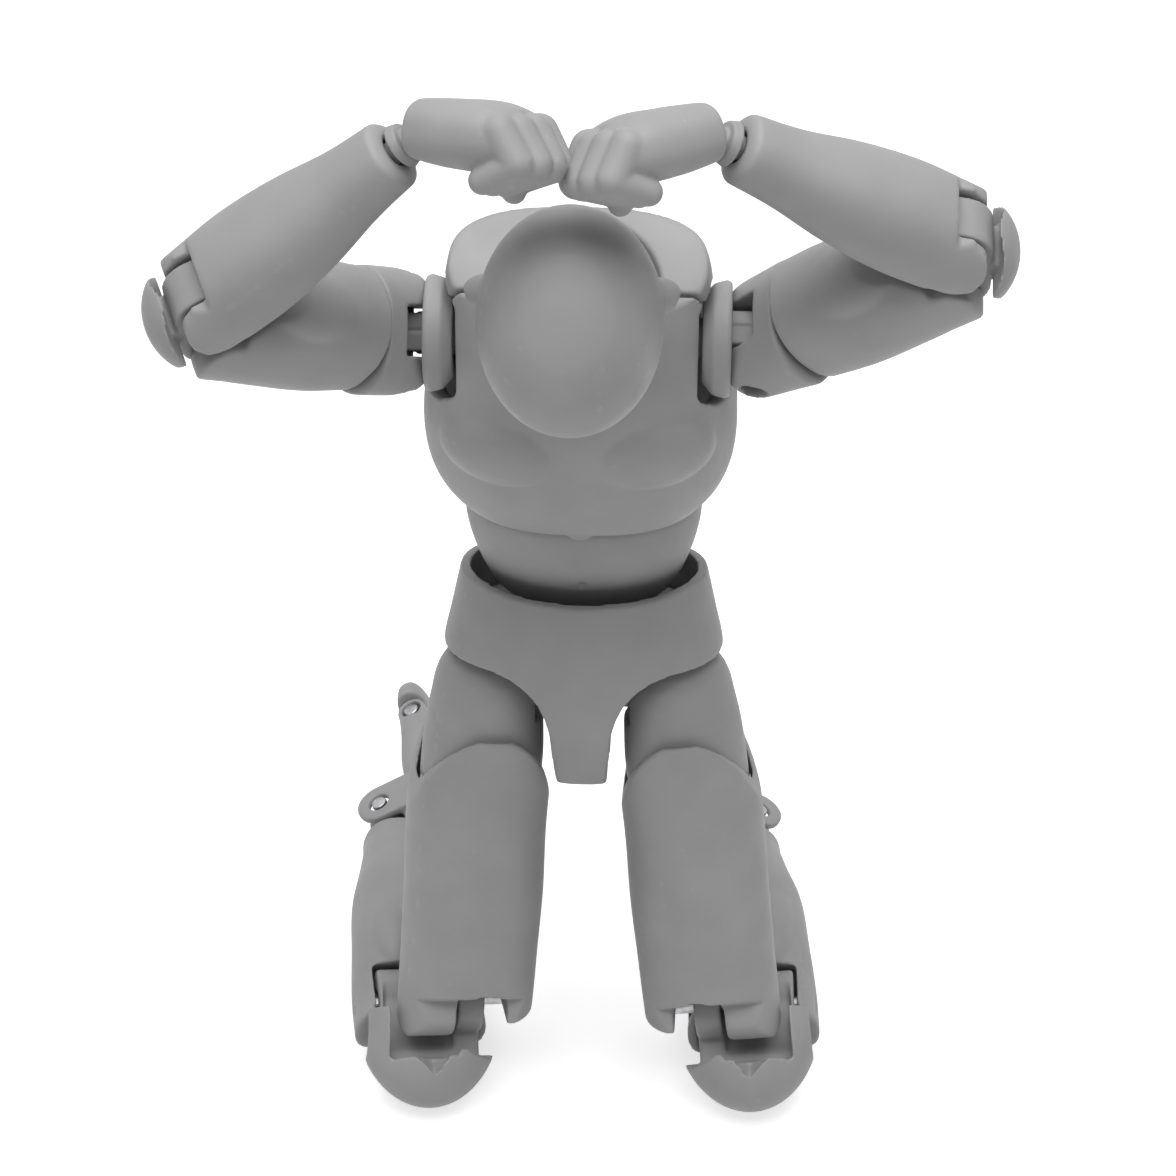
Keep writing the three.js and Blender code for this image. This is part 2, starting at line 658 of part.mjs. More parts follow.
const ELBOW = {
  fore: 1,
  pinGap: ELBOW_PIN_GAP,
  armRadius: ELBOW_ARM_RADIUS,
  round: ELBOW_PIN_GAP / 2 - GAP / 2,
  nose: 0.5,
  noseRadius: ELBOW_PIN_GAP / 2 + 0.3,
  capInner: ELBOW_ARM_RADIUS + 0.7,
  capEdge: 34,
  capSweep: 112,
  fold: 58,
};

const KNEE = {
  fore: -1,
  pinGap: KNEE_PIN_GAP,
  armRadius: KNEE_ARM_RADIUS,
  round: KNEE_PIN_GAP / 2 - GAP / 2,
  nose: 1.6,
  noseRadius: KNEE_PIN_GAP / 2 + 1.4,
  capInner: KNEE_ARM_RADIUS + 2.6,
  capEdge: 32,
  capSweep: 114,
  fold: 57,
};

// Cap of a two-pin link: a full rounded shield hollowed round both pins,
// with a web inside it that reaches back to the middle of the link
function linkCap(spec, half, reach, height, centreX, web) {
  const middle = -spec.pinGap / 2;
  const tall = height / 2;
  const full = ellipsoid(half * CAP_FULLNESS, reach - CAP_BASE, tall * CAP_FULLNESS,
    centreX, spec.fore * CAP_BASE, middle, 14);
  const frame = box(centreX - half, centreX + half, -CUT, CUT, middle - tall, middle + tall);
  const shield = full.intersect(frame);
  const outside = spec.fore < 0 ? [-CUT, -CAP_BASE] : [CAP_BASE, CUT];
  const hollows = [0, -spec.pinGap].map((z) => barX(spec.capInner, -CUT, CUT, 0, z, 12));
  const shell = cut(shield.intersect(box(-CUT, CUT, ...outside, -CUT, CUT)), ...hollows);
  return join(shell, web.intersect(shield));
}

// Room in a link for a limb's tip, between two places across the joint
function tipRoom(spec, side, from, to, beyond) {
  const past = beyond < 0 ? [0, CUT] : [-CUT, 0];
  const half = beyond < 0 ? [-spec.pinGap / 2, CUT] : [-CUT, spec.pinGap / 2];
  const folded = spec.fore < 0 ? [0, CUT] : [-CUT, 0];
  return join(
    tip(spec, side, from, to, beyond, GAP),
    sideBox(side, from, to, -CUT, CUT, ...past).intersect(barX(spec.capInner, -CUT, CUT, 0, 0, 12)),
    sideBox(side, from, to, ...folded, ...half),
  );
}

function linkWeb(spec, x0, x1, depth) {
  const y = spec.fore < 0 ? [-depth, -CAP_BASE] : [CAP_BASE, depth];
  return box(x0, x1, ...y, WEB_MARGIN - spec.pinGap, -WEB_MARGIN);
}

// Elbow: both limbs end in two cheeks outside the link's middle plate
function elbowEnd(beyond) {
  return join(
    armSlot(ELBOW, 1, -ELBOW_SLOT, ELBOW_SLOT, beyond),
    tipTrim(ELBOW, beyond),
    foldTrim(ELBOW, beyond),
    capRoom(ELBOW, beyond),
    blindHoleX(ELBOW_PIN_HALF),
  );
}

function elbowLink() {
  const half = ELBOW_LINK_WIDTH / 2;
  const plate = plateX(stadium(ELBOW_ARM_RADIUS, -ELBOW_PIN_GAP, 0), -half, half);
  const web = linkWeb(ELBOW, -half, half, ELBOW_CAP_REACH);
  const cap = linkCap(ELBOW, ELBOW_CAP_WIDTH / 2, ELBOW_CAP_REACH, ELBOW_CAP_HEIGHT, 0, web);
  const rooms = [1, -1].flatMap((side) => [
    tipRoom(ELBOW, side, half, CUT, -1),
    at(tipRoom(ELBOW, side, half, CUT, 1), 0, 0, -ELBOW_PIN_GAP),
  ]);
  return cut(join(plate, cap), ...rooms, pinHole(), at(pinHole(), 0, 0, -ELBOW_PIN_GAP));
}

function elbowPin() {
  return barX(PIN_RADIUS, -ELBOW_PIN_HALF, ELBOW_PIN_HALF, 0, 0, 8);
}

// Arm

// Shallow bowl, open towards the arm, centred on the shoulder axle
function shoulderCup(side) {
  const profile = [
    [SHOULDER_AXLE + GAP, -CUP_DEPTH],
    [CUP_RADIUS * 0.72, -CUP_DEPTH],
    [CUP_RADIUS * 0.94, -CUP_DEPTH * 0.62],
    [CUP_RADIUS, -0.4],
    [CUP_RADIUS - 0.2, 0],
    [CUP_RADIUS - CUP_WALL, 0],
    [CUP_RADIUS * 0.8, -CUP_DEPTH * 0.45],
    [CUP_RADIUS * 0.62, -CUP_DEPTH + CUP_WALL],
    [SHOULDER_AXLE + GAP, -CUP_DEPTH + CUP_WALL],
  ];
  const points = [...profile, profile[0]].map(([r, x]) => new THREE.Vector2(r, x));
  const bowl = solid(new THREE.LatheGeometry(points, 14).rotateZ(side > 0 ? -Math.PI / 2 : Math.PI / 2));
  return at(bowl, side * (CUP_FACE - SHOULDER_PIN_X), 0, 0);
}

// Axle into the chest block and a two-layer tang out to the arm's pin
function shoulderHinge(side) {
  const axle = sideBar(side, SHOULDER_AXLE, AXLE_END - SHOULDER_PIN_X, -SHOULDER_TANG_RADIUS * 0.4);
  const tangHalf = SHOULDER_TANG / 2;
  const eye = barY(SHOULDER_TANG_RADIUS, -tangHalf, tangHalf, 0, 0, 10);
  const neckEnd = CUP_FACE - SHOULDER_PIN_X - CUP_DEPTH + CUP_WALL + GAP;
  const shank = sideBox(side, neckEnd, 0, -tangHalf, tangHalf, -SHOULDER_TANG_RADIUS, SHOULDER_TANG_RADIUS);
  return cut(join(axle, eye, shank), barY(PIN_RADIUS + GAP, -CUT, CUT, 0, 0, 8));
}

function shoulderPin() {
  return barY(PIN_RADIUS, -DELTOID_WIDTH * 0.38, DELTOID_WIDTH * 0.38, 0, 0, 8);
}

// Cap of the shoulder: two cheeks round the tang, closed below
function deltoid(side) {
  const deep = DELTOID_WIDTH / 2;
  const crown = SHOULDER_TANG_RADIUS + 1;
  const body = form([
    [-DELTOID_LENGTH, 0, UPPER_ARM_WIDTH * 0.46, UPPER_ARM_WIDTH * 0.48, deep, deep],
    [-DELTOID_LENGTH * 0.6, 0, UPPER_ARM_WIDTH * 0.39, UPPER_ARM_WIDTH * 0.41, deep, deep],
    [0, 0, crown, crown, deep * 0.97, deep * 0.97],
    [crown, 0, crown * 0.8, crown * 0.8, deep * 0.86, deep * 0.86],
  ], { side, capHigh: crown, rings: 2, sides: 12 });
  const slotHalf = SHOULDER_TANG / 2 + SWING_GAP;
  const floor = SHOULDER_TANG_RADIUS + SWING_GAP;
  const slot = box(-CUT, CUT, -slotHalf, slotHalf, -floor, CUT);
  const stem = barZ(ARM_STEM, -DELTOID_LENGTH - ARM_STEM_LENGTH, -DELTOID_LENGTH + 1);
  return join(cut(body, slot, barY(PIN_RADIUS + GAP, -CUT, CUT, 0, 0, 8)), stem);
}

function upperArm(side) {
  const deep = UPPER_ARM_DEPTH / 2;
  const wide = UPPER_ARM_WIDTH / 2;
  const top = -DELTOID_LENGTH - GAP;
  const reach = UPPER_ARM_LENGTH + ELBOW_PIN_GAP / 2;
  const body = form([
    [top, 0, wide * 0.95, wide, deep * 0.96, deep * 0.96],
    [-reach * 0.45, 0, wide, wide * 1.04, deep * 1.03, deep * 0.98],
    [-reach * 0.68, 0, wide * 0.96, wide * 0.98, deep * 0.95, deep * 0.9],
    [-reach * 0.86, 0, wide * 0.92, wide * 0.92, deep * 0.8, deep * 0.8],
    [-reach - 1, 0, wide * 0.9, wide * 0.9, deep * 0.76, deep * 0.76],
  ], { side, rings: 5, sides: 12 });
  const bore = barZ(ARM_STEM + GAP, top - ARM_STEM_LENGTH - GAP, CUT);
  return cut(body, bore, at(elbowEnd(-1), 0, 0, -UPPER_ARM_LENGTH));
}

function forearm(side) {
  const wide = FOREARM_WIDTH / 2;
  const wrist = WRIST_WIDTH / 2;
  const body = form([
    [ELBOW_PIN_GAP / 2 + 1, 0, wide * 0.94, wide * 0.94, wide, wide * 0.92],
    [-1, 0, wide * 0.98, wide * 0.98, wide * 1.04, wide * 0.94],
    [-FOREARM_LENGTH * 0.24, 0, wide, wide, wide * 1.04, wide * 0.96],
    [-FOREARM_LENGTH * 0.5, 0, wide * 0.9, wide * 0.9, wide * 0.92, wide * 0.86],
    [-FOREARM_LENGTH * 0.78, 0, wrist * 1.14, wrist * 1.14, wrist * 1.18, wrist * 1.1],
    [-FOREARM_LENGTH, 0, wrist, wrist, wrist, wrist],
  ], { side, capLow: 0.7, rings: 5, sides: 12 });
  const bore = barZ(WRIST_STEM + GAP, -CUT, -FOREARM_LENGTH + WRIST_STEM_LENGTH - WRIST_REACH + GAP);
  return cut(body, elbowEnd(1), bore);
}

function wristPeg() {
  const stem = barZ(WRIST_STEM, WRIST_BALL * 0.5, WRIST_STEM_LENGTH, 0, 0, WRIST_STEM, 8);
  return join(ball(WRIST_BALL, 0, 0, 0, 8), stem);
}

// Closed fist: palm, a row of curled fingers and a thumb folded across
function hand(side) {
  const wide = HAND_WIDTH / 2;
  const thick = HAND_THICKNESS / 2;
  const palm = form([
    [HAND_HEEL, 0, thick * 0.86, thick * 0.86, wide * 0.66, wide * 0.66],
    [-HAND_LENGTH * 0.3, 0, thick, thick, wide * 0.94, wide * 0.9],
    [-HAND_LENGTH * 0.66, 0, thick * 0.98, thick, wide, wide],
    [-HAND_LENGTH + HAND_HEEL, 0, thick * 0.7, thick * 0.8, wide * 0.86, wide * 0.86],
  ], { side, capHigh: 0.7, capLow: 1.6, rings: 2, sides: 10 });
  const finger = HAND_WIDTH / 4;
  const fingers = [0, 1, 2, 3].map((i) => {
    const y = -wide * 0.92 + finger * (i + 0.5) * 0.94;
    const x = -side * thick * 0.55;
    return ellipsoid(thick * 0.9, finger * 0.62, HAND_LENGTH * 0.22, x, y, -HAND_LENGTH * 0.62, 8);
  });
  const thumbX = -side * thick * 0.9;
  const thumb = ellipsoid(1.5, 1.5, HAND_LENGTH * 0.3, thumbX, -wide * 0.72, -HAND_LENGTH * 0.4, 8);
  const socket = join(
    ball(WRIST_BALL + GAP, 0, 0, 0, 12),
    barZ(WRIST_BALL * 0.95, 0, CUT, 0, 0, CUT * 0.9, 12),
  );
  return cut(join(palm, ...fingers, thumb), socket);
}

// Hip: axle into the pelvis block and an eye for the spreading pin
function hipJoint(side) {
  const half = HIP_TANG / 2;
  const axle = sideBar(side, HIP_AXLE, STRAP_WIDTH / 2 - 0.9 - HIP_X, 0);
  const eye = barY(HIP_TANG_RADIUS, -half, half, 0, 0, 14);
  return cut(join(axle, eye), barY(PIN_RADIUS + GAP, -CUT, CUT, 0, 0, 8));
}

function hipPin() {
  return barY(PIN_RADIUS, -HIP_PIN_HALF, HIP_PIN_HALF, 0, 0, 8);
}

function thighTop(side) {
  const r = THIGH_TOP_RADIUS;
  const body = form([
    [-THIGH_TOP_LENGTH, 0, r, r, r, r],
    [-THIGH_TOP_LENGTH * 0.5, 0, r, r, r, r],
    [-THIGH_TOP_LENGTH * 0.25, 0, r * 0.95, r * 0.97, r * 0.97, r * 0.97],
    [0, 0, HIP_DOME * 0.99, HIP_DOME, HIP_DOME, HIP_DOME],
    [HIP_DOME, 0, HIP_DOME, HIP_DOME, HIP_DOME, HIP_DOME],
  ], { side, capHigh: HIP_DOME, rings: 3, sides: 16, square: 1 });
  const half = HIP_TANG / 2 + GAP;
  const eyeRoom = HIP_TANG_RADIUS + SWING_GAP;
  const axleRoom = HIP_AXLE + SWING_GAP;
  const slot = join(
    barY(eyeRoom, -half, half, 0, 0, 14),
    sideBox(side, -CUT, 0, -axleRoom, axleRoom, -axleRoom, CUT),
    sideBox(side, -CUT, eyeRoom, -half, half, 0, CUT),
  );
  const stem = barZ(THIGH_STEM, -THIGH_TOP_LENGTH - THIGH_STEM_LENGTH, 1 - THIGH_TOP_LENGTH);
  return join(cut(body, slot, blindHoleY(HIP_PIN_HALF)), stem);
}

// Thigh: sleeve round the thigh top, a tongue and an inner wall at the knee
function thigh(side) {
  const sleeve = THIGH_TOP_RADIUS + GAP + THIGH_SLEEVE;
  const wide = THIGH_WIDTH / 2;
  const deep = THIGH_DEPTH / 2;
  const back = KNEE_PIN_SETBACK;
  const top = -THIGH_RIM_DROP;
  const body = form([
    [top, 0, sleeve, sleeve, sleeve, sleeve],
    [-THIGH_TOP_LENGTH * 0.6, 0, sleeve, sleeve, sleeve, sleeve],
    [-THIGH_LENGTH * 0.42, -back * 0.1, wide, wide * 1.01, deep, deep * 0.97],
    [-THIGH_LENGTH * 0.6, -back * 0.4, wide * 1.04, wide * 0.98, deep * 0.96, deep * 0.9],
    [-THIGH_LENGTH * 0.8, -back * 0.8, wide * 1.04, wide * 0.96, deep * 0.83, deep * 0.78],
    [-THIGH_LENGTH * 0.92, -back, wide * 1.04, wide * 0.96, deep * 0.76, deep * 0.68],
    [-THIGH_LENGTH - KNEE_PIN_GAP, -back, wide * 1.02, wide * 0.94, deep * 0.7, deep * 0.54],
  ], { side, rings: 6, sides: 14 });
  const arch = new THREE.Shape();
  const archHalf = sleeve + THIGH_RIM_MARGIN;
  arch.absellipse(0, top - THIGH_RIM_ARCH, archHalf, THIGH_RIM_ARCH + GAP, 0, Math.PI, false);
  arch.lineTo(-archHalf, -CUT * 2);
  arch.lineTo(archHalf, -CUT * 2);
  arch.closePath();
  const boreRadius = THIGH_TOP_RADIUS + GAP;
  const sleeveBore = barZ(boreRadius, -THIGH_TOP_LENGTH - GAP, CUT, 0, 0, boreRadius, 16);
  const stemBore = barZ(THIGH_STEM + GAP, -THIGH_TOP_LENGTH - THIGH_STEM_LENGTH - GAP, 0);
  const knee = join(
    armSlot(KNEE, side, KNEE_SLOT_IN, KNEE_TONGUE_LOW, -1),
    tipTrim(KNEE, -1),
    foldTrim(KNEE, -1),
    capRoom(KNEE, -1),
    sideBar(side, PIN_RADIUS + GAP, KNEE_PIN_IN - GAP, KNEE_PIN_OUT + GAP, 0, 0, 8),
  );
  const kneeTool = at(knee, side * KNEE_OUTWARD, 0, -THIGH_LENGTH);
  return cut(body.intersect(plateY(arch, -CUT, CUT)), sleeveBore, stemBore, kneeTool);
}

// Knee link: a tang above, a hub below and the kneecap in front
function kneeLink(side) {
  const span = across(side, KNEE_LINK_IN, KNEE_LINK_OUT);
  const tangSpan = across(side, KNEE_LINK_IN, KNEE_TONGUE_LOW - GAP);
  const tang = plateX(stadium(KNEE_ARM_RADIUS, -KNEE_PIN_GAP, 0), ...tangSpan);
  const hub = sideBar(side, KNEE_ARM_RADIUS, KNEE_LINK_IN, KNEE_HUB_OUT, 0, -KNEE_PIN_GAP, 14);
  const web = linkWeb(KNEE, ...span, KNEE_CAP_REACH);
  const cap = linkCap(KNEE, KNEE_LINK_OUT + KNEE_CAP_EDGE, KNEE_CAP_REACH, KNEE_CAP_HEIGHT, 0, web);
  const grooves = join(
    tipRoom(KNEE, side, KNEE_TONGUE_LOW - GAP, CUT, -1),
    tipRoom(KNEE, side, -CUT, KNEE_LINK_IN, -1),
    at(tipRoom(KNEE, side, -CUT, KNEE_LINK_IN, 1), 0, 0, -KNEE_PIN_GAP),
    at(tipRoom(KNEE, side, KNEE_HUB_OUT, CUT, 1), 0, 0, -KNEE_PIN_GAP),
  );
  return cut(join(tang, hub, cap), grooves, pinHole(), at(pinHole(), 0, 0, -KNEE_PIN_GAP));
}

function upperKneePin(side) {
  return sideBar(side, PIN_RADIUS, KNEE_PIN_IN, KNEE_PIN_OUT, 0, 0, 8);
}

function lowerKneePin(side) {
  return sideBar(side, PIN_RADIUS, -SHIN_WIDTH / 2 + 0.6, SHIN_WIDTH / 2 + 0.6, 0, 0, 8);
}

// Shin: two lobes outside the link's hub, a full calf and a slim ankle
function shin(side) {
  const wide = SHIN_WIDTH / 2;
  const calf = CALF_DEPTH / 2;
  const ankle = ANKLE_WIDTH / 2;
  const back = KNEE_PIN_SETBACK;
  const length = SHIN_LENGTH;
  const body = form([
    [KNEE_PIN_GAP, -back, wide, wide * 1.15, calf * 0.78, calf * 0.7],
    [-length * 0.1, -back * 0.8, wide, wide * 1.12, calf * 0.82, calf * 0.84],
    [-length * 0.3, -back * 0.3, wide * 0.97, wide * 1.04, calf * 0.87, calf * 1.04],
    [-length * 0.5, 0, wide * 0.85, wide * 0.95, calf * 0.82, calf],
    [-length * 0.7, 0, ankle * 1.12, ankle * 1.22, ankle * 1.2, ankle * 1.32],
    [-length * 0.87, 0, ankle * 0.94, ankle * 0.97, ankle * 1.02, ankle * 1.06],
    [-length + ANKLE_BALL + SWING_GAP, 0, ankle * 0.94, ankle * 0.97, ankle * 0.97, ankle * 1.02],
  ], { side, capLow: 0.7, rings: 5, sides: 14 });
  const knee = join(
    armSlot(KNEE, side, KNEE_LINK_IN - GAP, KNEE_HUB_OUT + GAP, 1),
    tipTrim(KNEE, 1),
    foldTrim(KNEE, 1),
    capRoom(KNEE, 1),
    pinHole(),
  );
  const stemBore = barZ(ANKLE_STEM + GAP, -CUT * 2, -length + ANKLE_STEM_LENGTH + GAP);
  return cut(body, knee, stemBore);
}

function ankleJoint() {
  const stem = barZ(ANKLE_STEM, ANKLE_BALL * 0.6, ANKLE_STEM_LENGTH, 0, 0, ANKLE_STEM, 12);
  return cut(join(ball(ANKLE_BALL), stem), pinHole());
}

function anklePin() {
  return barX(PIN_RADIUS, -ANKLE_BALL - 1.1, ANKLE_BALL + 1.1, 0, 0, 8);
}

// Foot: the form runs forward from the heel and is turned to lie along -Y

function footForm(side) {
  const wide = FOOT_WIDTH / 2;
  const sole = ANKLE_HEIGHT;
  const middle = (height) => -sole + height / 2;
  const ring = (forward, height, inner, outer) =>
    [forward, middle(height), inner, outer, height / 2, height / 2];
  return form([
    ring(-FOOT_HEEL, 3.2, wide * 0.56, wide * 0.56),
    ring(-FOOT_HEEL * 0.5, 3.6, wide * 0.72, wide * 0.72),
    ring(0, 4.2, wide * 0.76, wide * 0.76),
    ring(FOOT_FRONT * 0.4, 4.8, wide * 0.84, wide * 0.86),
    ring(FOOT_FRONT * 0.75, 3.9, wide * 0.98, wide),
    ring(FOOT_FRONT + 1.4, TOE_THICKNESS, wide, wide * 1.02),
  ], { side, capLow: 1.6, rings: 5, sides: 10, square: 0.8 }).rotate([90, 0, 0]);
}

function foot(side) {
  const bracketHalf = ANKLE_BALL + 1.2;
  const bracket = join(
    barX(ANKLE_BALL + 0.1, -bracketHalf, bracketHalf),
    box(-bracketHalf, bracketHalf, -ANKLE_BALL - 0.1, ANKLE_BALL + 0.1, -ANKLE_HEIGHT + 1, 0),
  );
  const ballRoom = ANKLE_BALL + GAP;
  const room = join(
    barX(ballRoom + 0.15, -ballRoom, ballRoom, 0, 0, 10),
    box(-ballRoom, ballRoom, -ballRoom, CUT, 0, CUT),
    box(-ballRoom, ballRoom, 0, CUT, -ballRoom + 0.6, CUT),
  );
  const toeRoom = join(
    barX(TOE_KNUCKLE + GAP, -CUT, CUT, -FOOT_FRONT, -TOE_HINGE_HEIGHT, 10),
    box(-CUT, CUT, -CUT, -FOOT_FRONT, -CUT, CUT),
  );
  const cheeks = [1, -1].map((s) =>
    sideBar(s, TOE_KNUCKLE, TOE_KNUCKLE_HALF + GAP, FOOT_WIDTH * 0.42, -FOOT_FRONT, -TOE_HINGE_HEIGHT, 10));
  const arms = [1, -1].map((s) =>
    sideBox(s, TOE_KNUCKLE_HALF + GAP, FOOT_WIDTH * 0.42, -FOOT_FRONT, -FOOT_FRONT + 3,
      -TOE_HINGE_HEIGHT - TOE_KNUCKLE, -TOE_HINGE_HEIGHT + TOE_KNUCKLE));
  const toePinHole = at(pinHole(), 0, -FOOT_FRONT, -TOE_HINGE_HEIGHT);
  const body = cut(join(footForm(side), bracket), room, pinHole(), toeRoom);
  return cut(join(body, ...cheeks, ...arms), toePinHole);
}

function toe(side) {
  const wide = FOOT_WIDTH / 2;
  const half = TOE_THICKNESS / 2;
  const body = form([
    [TOE_KNUCKLE + GAP, 0, wide, wide * 1.02, half, half],
    [TOE_LENGTH * 0.6, -half * 0.1, wide * 0.96, wide, half * 0.9, half * 0.9],
    [TOE_LENGTH, -half * 0.25, wide * 0.7, wide * 0.66, half * 0.75, half * 0.7],
  ], { side, capHigh: 1.2, rings: 2, sides: 10, square: 0.8 }).rotate([90, 0, 0]);
  const knuckle = barX(TOE_KNUCKLE, -TOE_KNUCKLE_HALF, TOE_KNUCKLE_HALF, 0, 0, 10);
  const tongue = box(-TOE_KNUCKLE_HALF, TOE_KNUCKLE_HALF, -TOE_KNUCKLE - 1, 0, -half * 0.8, half * 0.8);
  return cut(join(body, knuckle, tongue), pinHole());
}

function toePin() {
  return barX(PIN_RADIUS, -FOOT_WIDTH * 0.4, FOOT_WIDTH * 0.4, 0, 0, 8);
}

// Assembly, from the pelvis outwards
const figure = new THREE.Group();

const pelvis = turn(figure, 'pelvis', [0, 0, 0], X_AXIS, PELVIS_LEAN);
add(pelvis, 'pelvis_shell', pelvisShell(), BODY_GREY);
add(pelvis, 'pelvis_block', pelvisBlock(), JOINT_GREY);

const waistTwist = turn(pelvis, 'waist_twist', [0, WAIST_BACK, WAIST_HEIGHT], Z_AXIS, 0);
add(waistTwist, 'waist_ball_peg', ballPeg(TRUNK_BALL, TRUNK_STEM, WAIST_STEM), JOINT_GREY);
const waistBend = turn(waistTwist, 'waist_bend', [0, 0, 0], X_AXIS, WAIST_BEND);
add(waistBend, 'abdomen', abdomen(), BODY_GREY);

const chestTwist = turn(waistBend, 'chest_twist', [0, 0, WAIST_TO_CHEST], Z_AXIS, 0);
add(chestTwist, 'chest_ball_peg', ballPeg(TRUNK_BALL, TRUNK_STEM, CHEST_STEM), JOINT_GREY);
const chest = turn(chestTwist, 'chest_bend', [0, 0, 0], X_AXIS, CHEST_BEND);
add(chest, 'chest_front', chestShell(true), BODY_GREY);
add(chest, 'chest_back', chestShell(false), BODY_GREY);
add(chest, 'chest_block', chestBlock(), JOINT_GREY);

const neckPlace = [0, NECK_BASE_BACK, NECK_BASE_HEIGHT - NECK_DROP];
const neckTurn = turn(chest, 'neck_bend', neckPlace, X_AXIS, NECK_BEND);
add(neckTurn, 'neck', neck(), BODY_GREY);
const headTurn = turn(neckTurn, 'head_turn', [0, NECK_TOP_Y, HEAD_JOINT_Z], Z_AXIS, 0);
add(headTurn, 'head_ball_peg', ballPeg(NECK_BALL, NECK_STEM, HEAD_PEG), JOINT_GREY);
const headNod = turn(headTurn, 'head_nod', [0, 0, 0], X_AXIS, HEAD_NOD);
add(headNod, 'head', head(), BODY_GREY);

for (const [name, side] of [['right', -1], ['left', 1]]) {
  const arm = ARM_POSE[name];
  const label = (piece) => `${name}_${piece}`;
  const shoulderPlace = [side * SHOULDER_PIN_X, 0, SHOULDER_HEIGHT];
  const shoulder = turn(chest, label('shoulder_swing'), shoulderPlace, X_AXIS, arm.swing);
  add(shoulder, label('shoulder_cup'), shoulderCup(side), BODY_GREY);
  add(shoulder, label('shoulder_hinge'), shoulderHinge(side), JOINT_GREY);
  const raised = turn(shoulder, label('shoulder_raise'), [0, 0, 0], Y_AXIS, -side * arm.raise);
  add(raised, label('deltoid'), deltoid(side), BODY_GREY);
  add(raised, label('shoulder_pin'), shoulderPin(), STEEL);
  const upper = turn(raised, label('arm_twist'), [0, 0, 0], Z_AXIS, side * arm.twist);
  add(upper, label('upper_arm'), upperArm(side), BODY_GREY);
  add(upper, label('upper_elbow_pin'), at(elbowPin(), 0, 0, -UPPER_ARM_LENGTH), STEEL);
  const link = turn(upper, label('elbow_upper'), [0, 0, -UPPER_ARM_LENGTH], X_AXIS, -arm.elbow / 2);
  add(link, label('elbow_link'), elbowLink(), JOINT_GREY);
  const lower = turn(link, label('elbow_lower'), [0, 0, -ELBOW_PIN_GAP], X_AXIS, -arm.elbow / 2);
  add(lower, label('forearm'), forearm(side), BODY_GREY);
  add(lower, label('lower_elbow_pin'), elbowPin(), STEEL);
  const wristPlace = [0, 0, -FOREARM_LENGTH - WRIST_REACH];
  const peg = turn(lower, label('wrist_twist'), wristPlace, Z_AXIS, side * arm.turn);
  add(peg, label('wrist_peg'), wristPeg(), JOINT_GREY);
  const fist = turn(peg, label('wrist_bend'), [0, 0, 0], Y_AXIS, side * arm.wrist);
  add(fist, label('hand'), hand(side), BODY_GREY);
}

for (const [name, side] of [['right', -1], ['left', 1]]) {
  const leg = LEG_POSE[name];
  const label = (piece) => `${name}_${piece}`;
  const hip = turn(pelvis, label('hip_swing'), [side * HIP_X, 0, 0], X_AXIS, -leg.flex);
  add(hip, label('hip_joint'), hipJoint(side), JOINT_GREY);
  const spread = turn(hip, label('hip_spread'), [0, 0, 0], Y_AXIS, -side * leg.spread);
  add(spread, label('thigh_top'), thighTop(side), BODY_GREY);
  add(spread, label('hip_pin'), hipPin(), STEEL);
  const upper = turn(spread, label('thigh_twist'), [0, 0, 0], Z_AXIS, -side * leg.twist);
  add(upper, label('thigh'), thigh(side), BODY_GREY);
  add(upper, label('upper_knee_pin'), at(upperKneePin(side), side * KNEE_OUTWARD, 0, -THIGH_LENGTH), STEEL);
  const kneePlace = [side * KNEE_OUTWARD, 0, -THIGH_LENGTH];
  const link = turn(upper, label('knee_upper'), kneePlace, X_AXIS, leg.knee / 2);
  add(link, label('knee_link'), kneeLink(side), BODY_GREY);
  const lower = turn(link, label('knee_lower'), [0, 0, -KNEE_PIN_GAP], X_AXIS, leg.knee / 2);
  add(lower, label('shin'), shin(side), BODY_GREY);
  add(lower, label('lower_knee_pin'), lowerKneePin(side), STEEL);
  const ankle = turn(lower, label('ankle_twist'), [0, 0, -SHIN_LENGTH], Z_AXIS, side * leg.turn);
  add(ankle, label('ankle_joint'), ankleJoint(), JOINT_GREY);
  const bend = turn(ankle, label('ankle_bend'), [0, 0, 0], X_AXIS, leg.ankle);
  add(bend, label('foot'), foot(side), BODY_GREY);
  add(bend, label('ankle_pin'), anklePin(), STEEL);
  const toePlace = [0, -FOOT_FRONT, -TOE_HINGE_HEIGHT];
  add(bend, label('toe_pin'), at(toePin(), ...toePlace), STEEL);
  const toeBend = turn(bend, label('toe_bend'), toePlace, X_AXIS, 0);
  add(toeBend, label('toe'), toe(side), BODY_GREY);
}

// The origin is on the ground under the middle of the figure
figure.updateMatrixWorld(true);
const extent = new THREE.Box3().setFromObject(figure, true);
const middle = extent.getCenter(new THREE.Vector3());
figure.position.set(-middle.x, -middle.y, -extent.min.z);
figure.updateMatrixWorld(true);

export default figure;
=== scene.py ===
"""Jointed drawing figure in matte grey plastic, kneeling with its fists over its bowed head.

Every piece is modelled in millimetres in the frame of the joint that it turns on, a
left-hand one first, then mirrored, scaled to metres and set into the figure's own frame.
The figure faces -Y, its right side is at -X, and -Y is the front of every piece.
"""

import json
from math import cos, pi, radians, sin

import bpy
import numpy as np
from bpy.props import FloatProperty, FloatVectorProperty, IntProperty, PointerProperty
from mathutils import Matrix, Vector


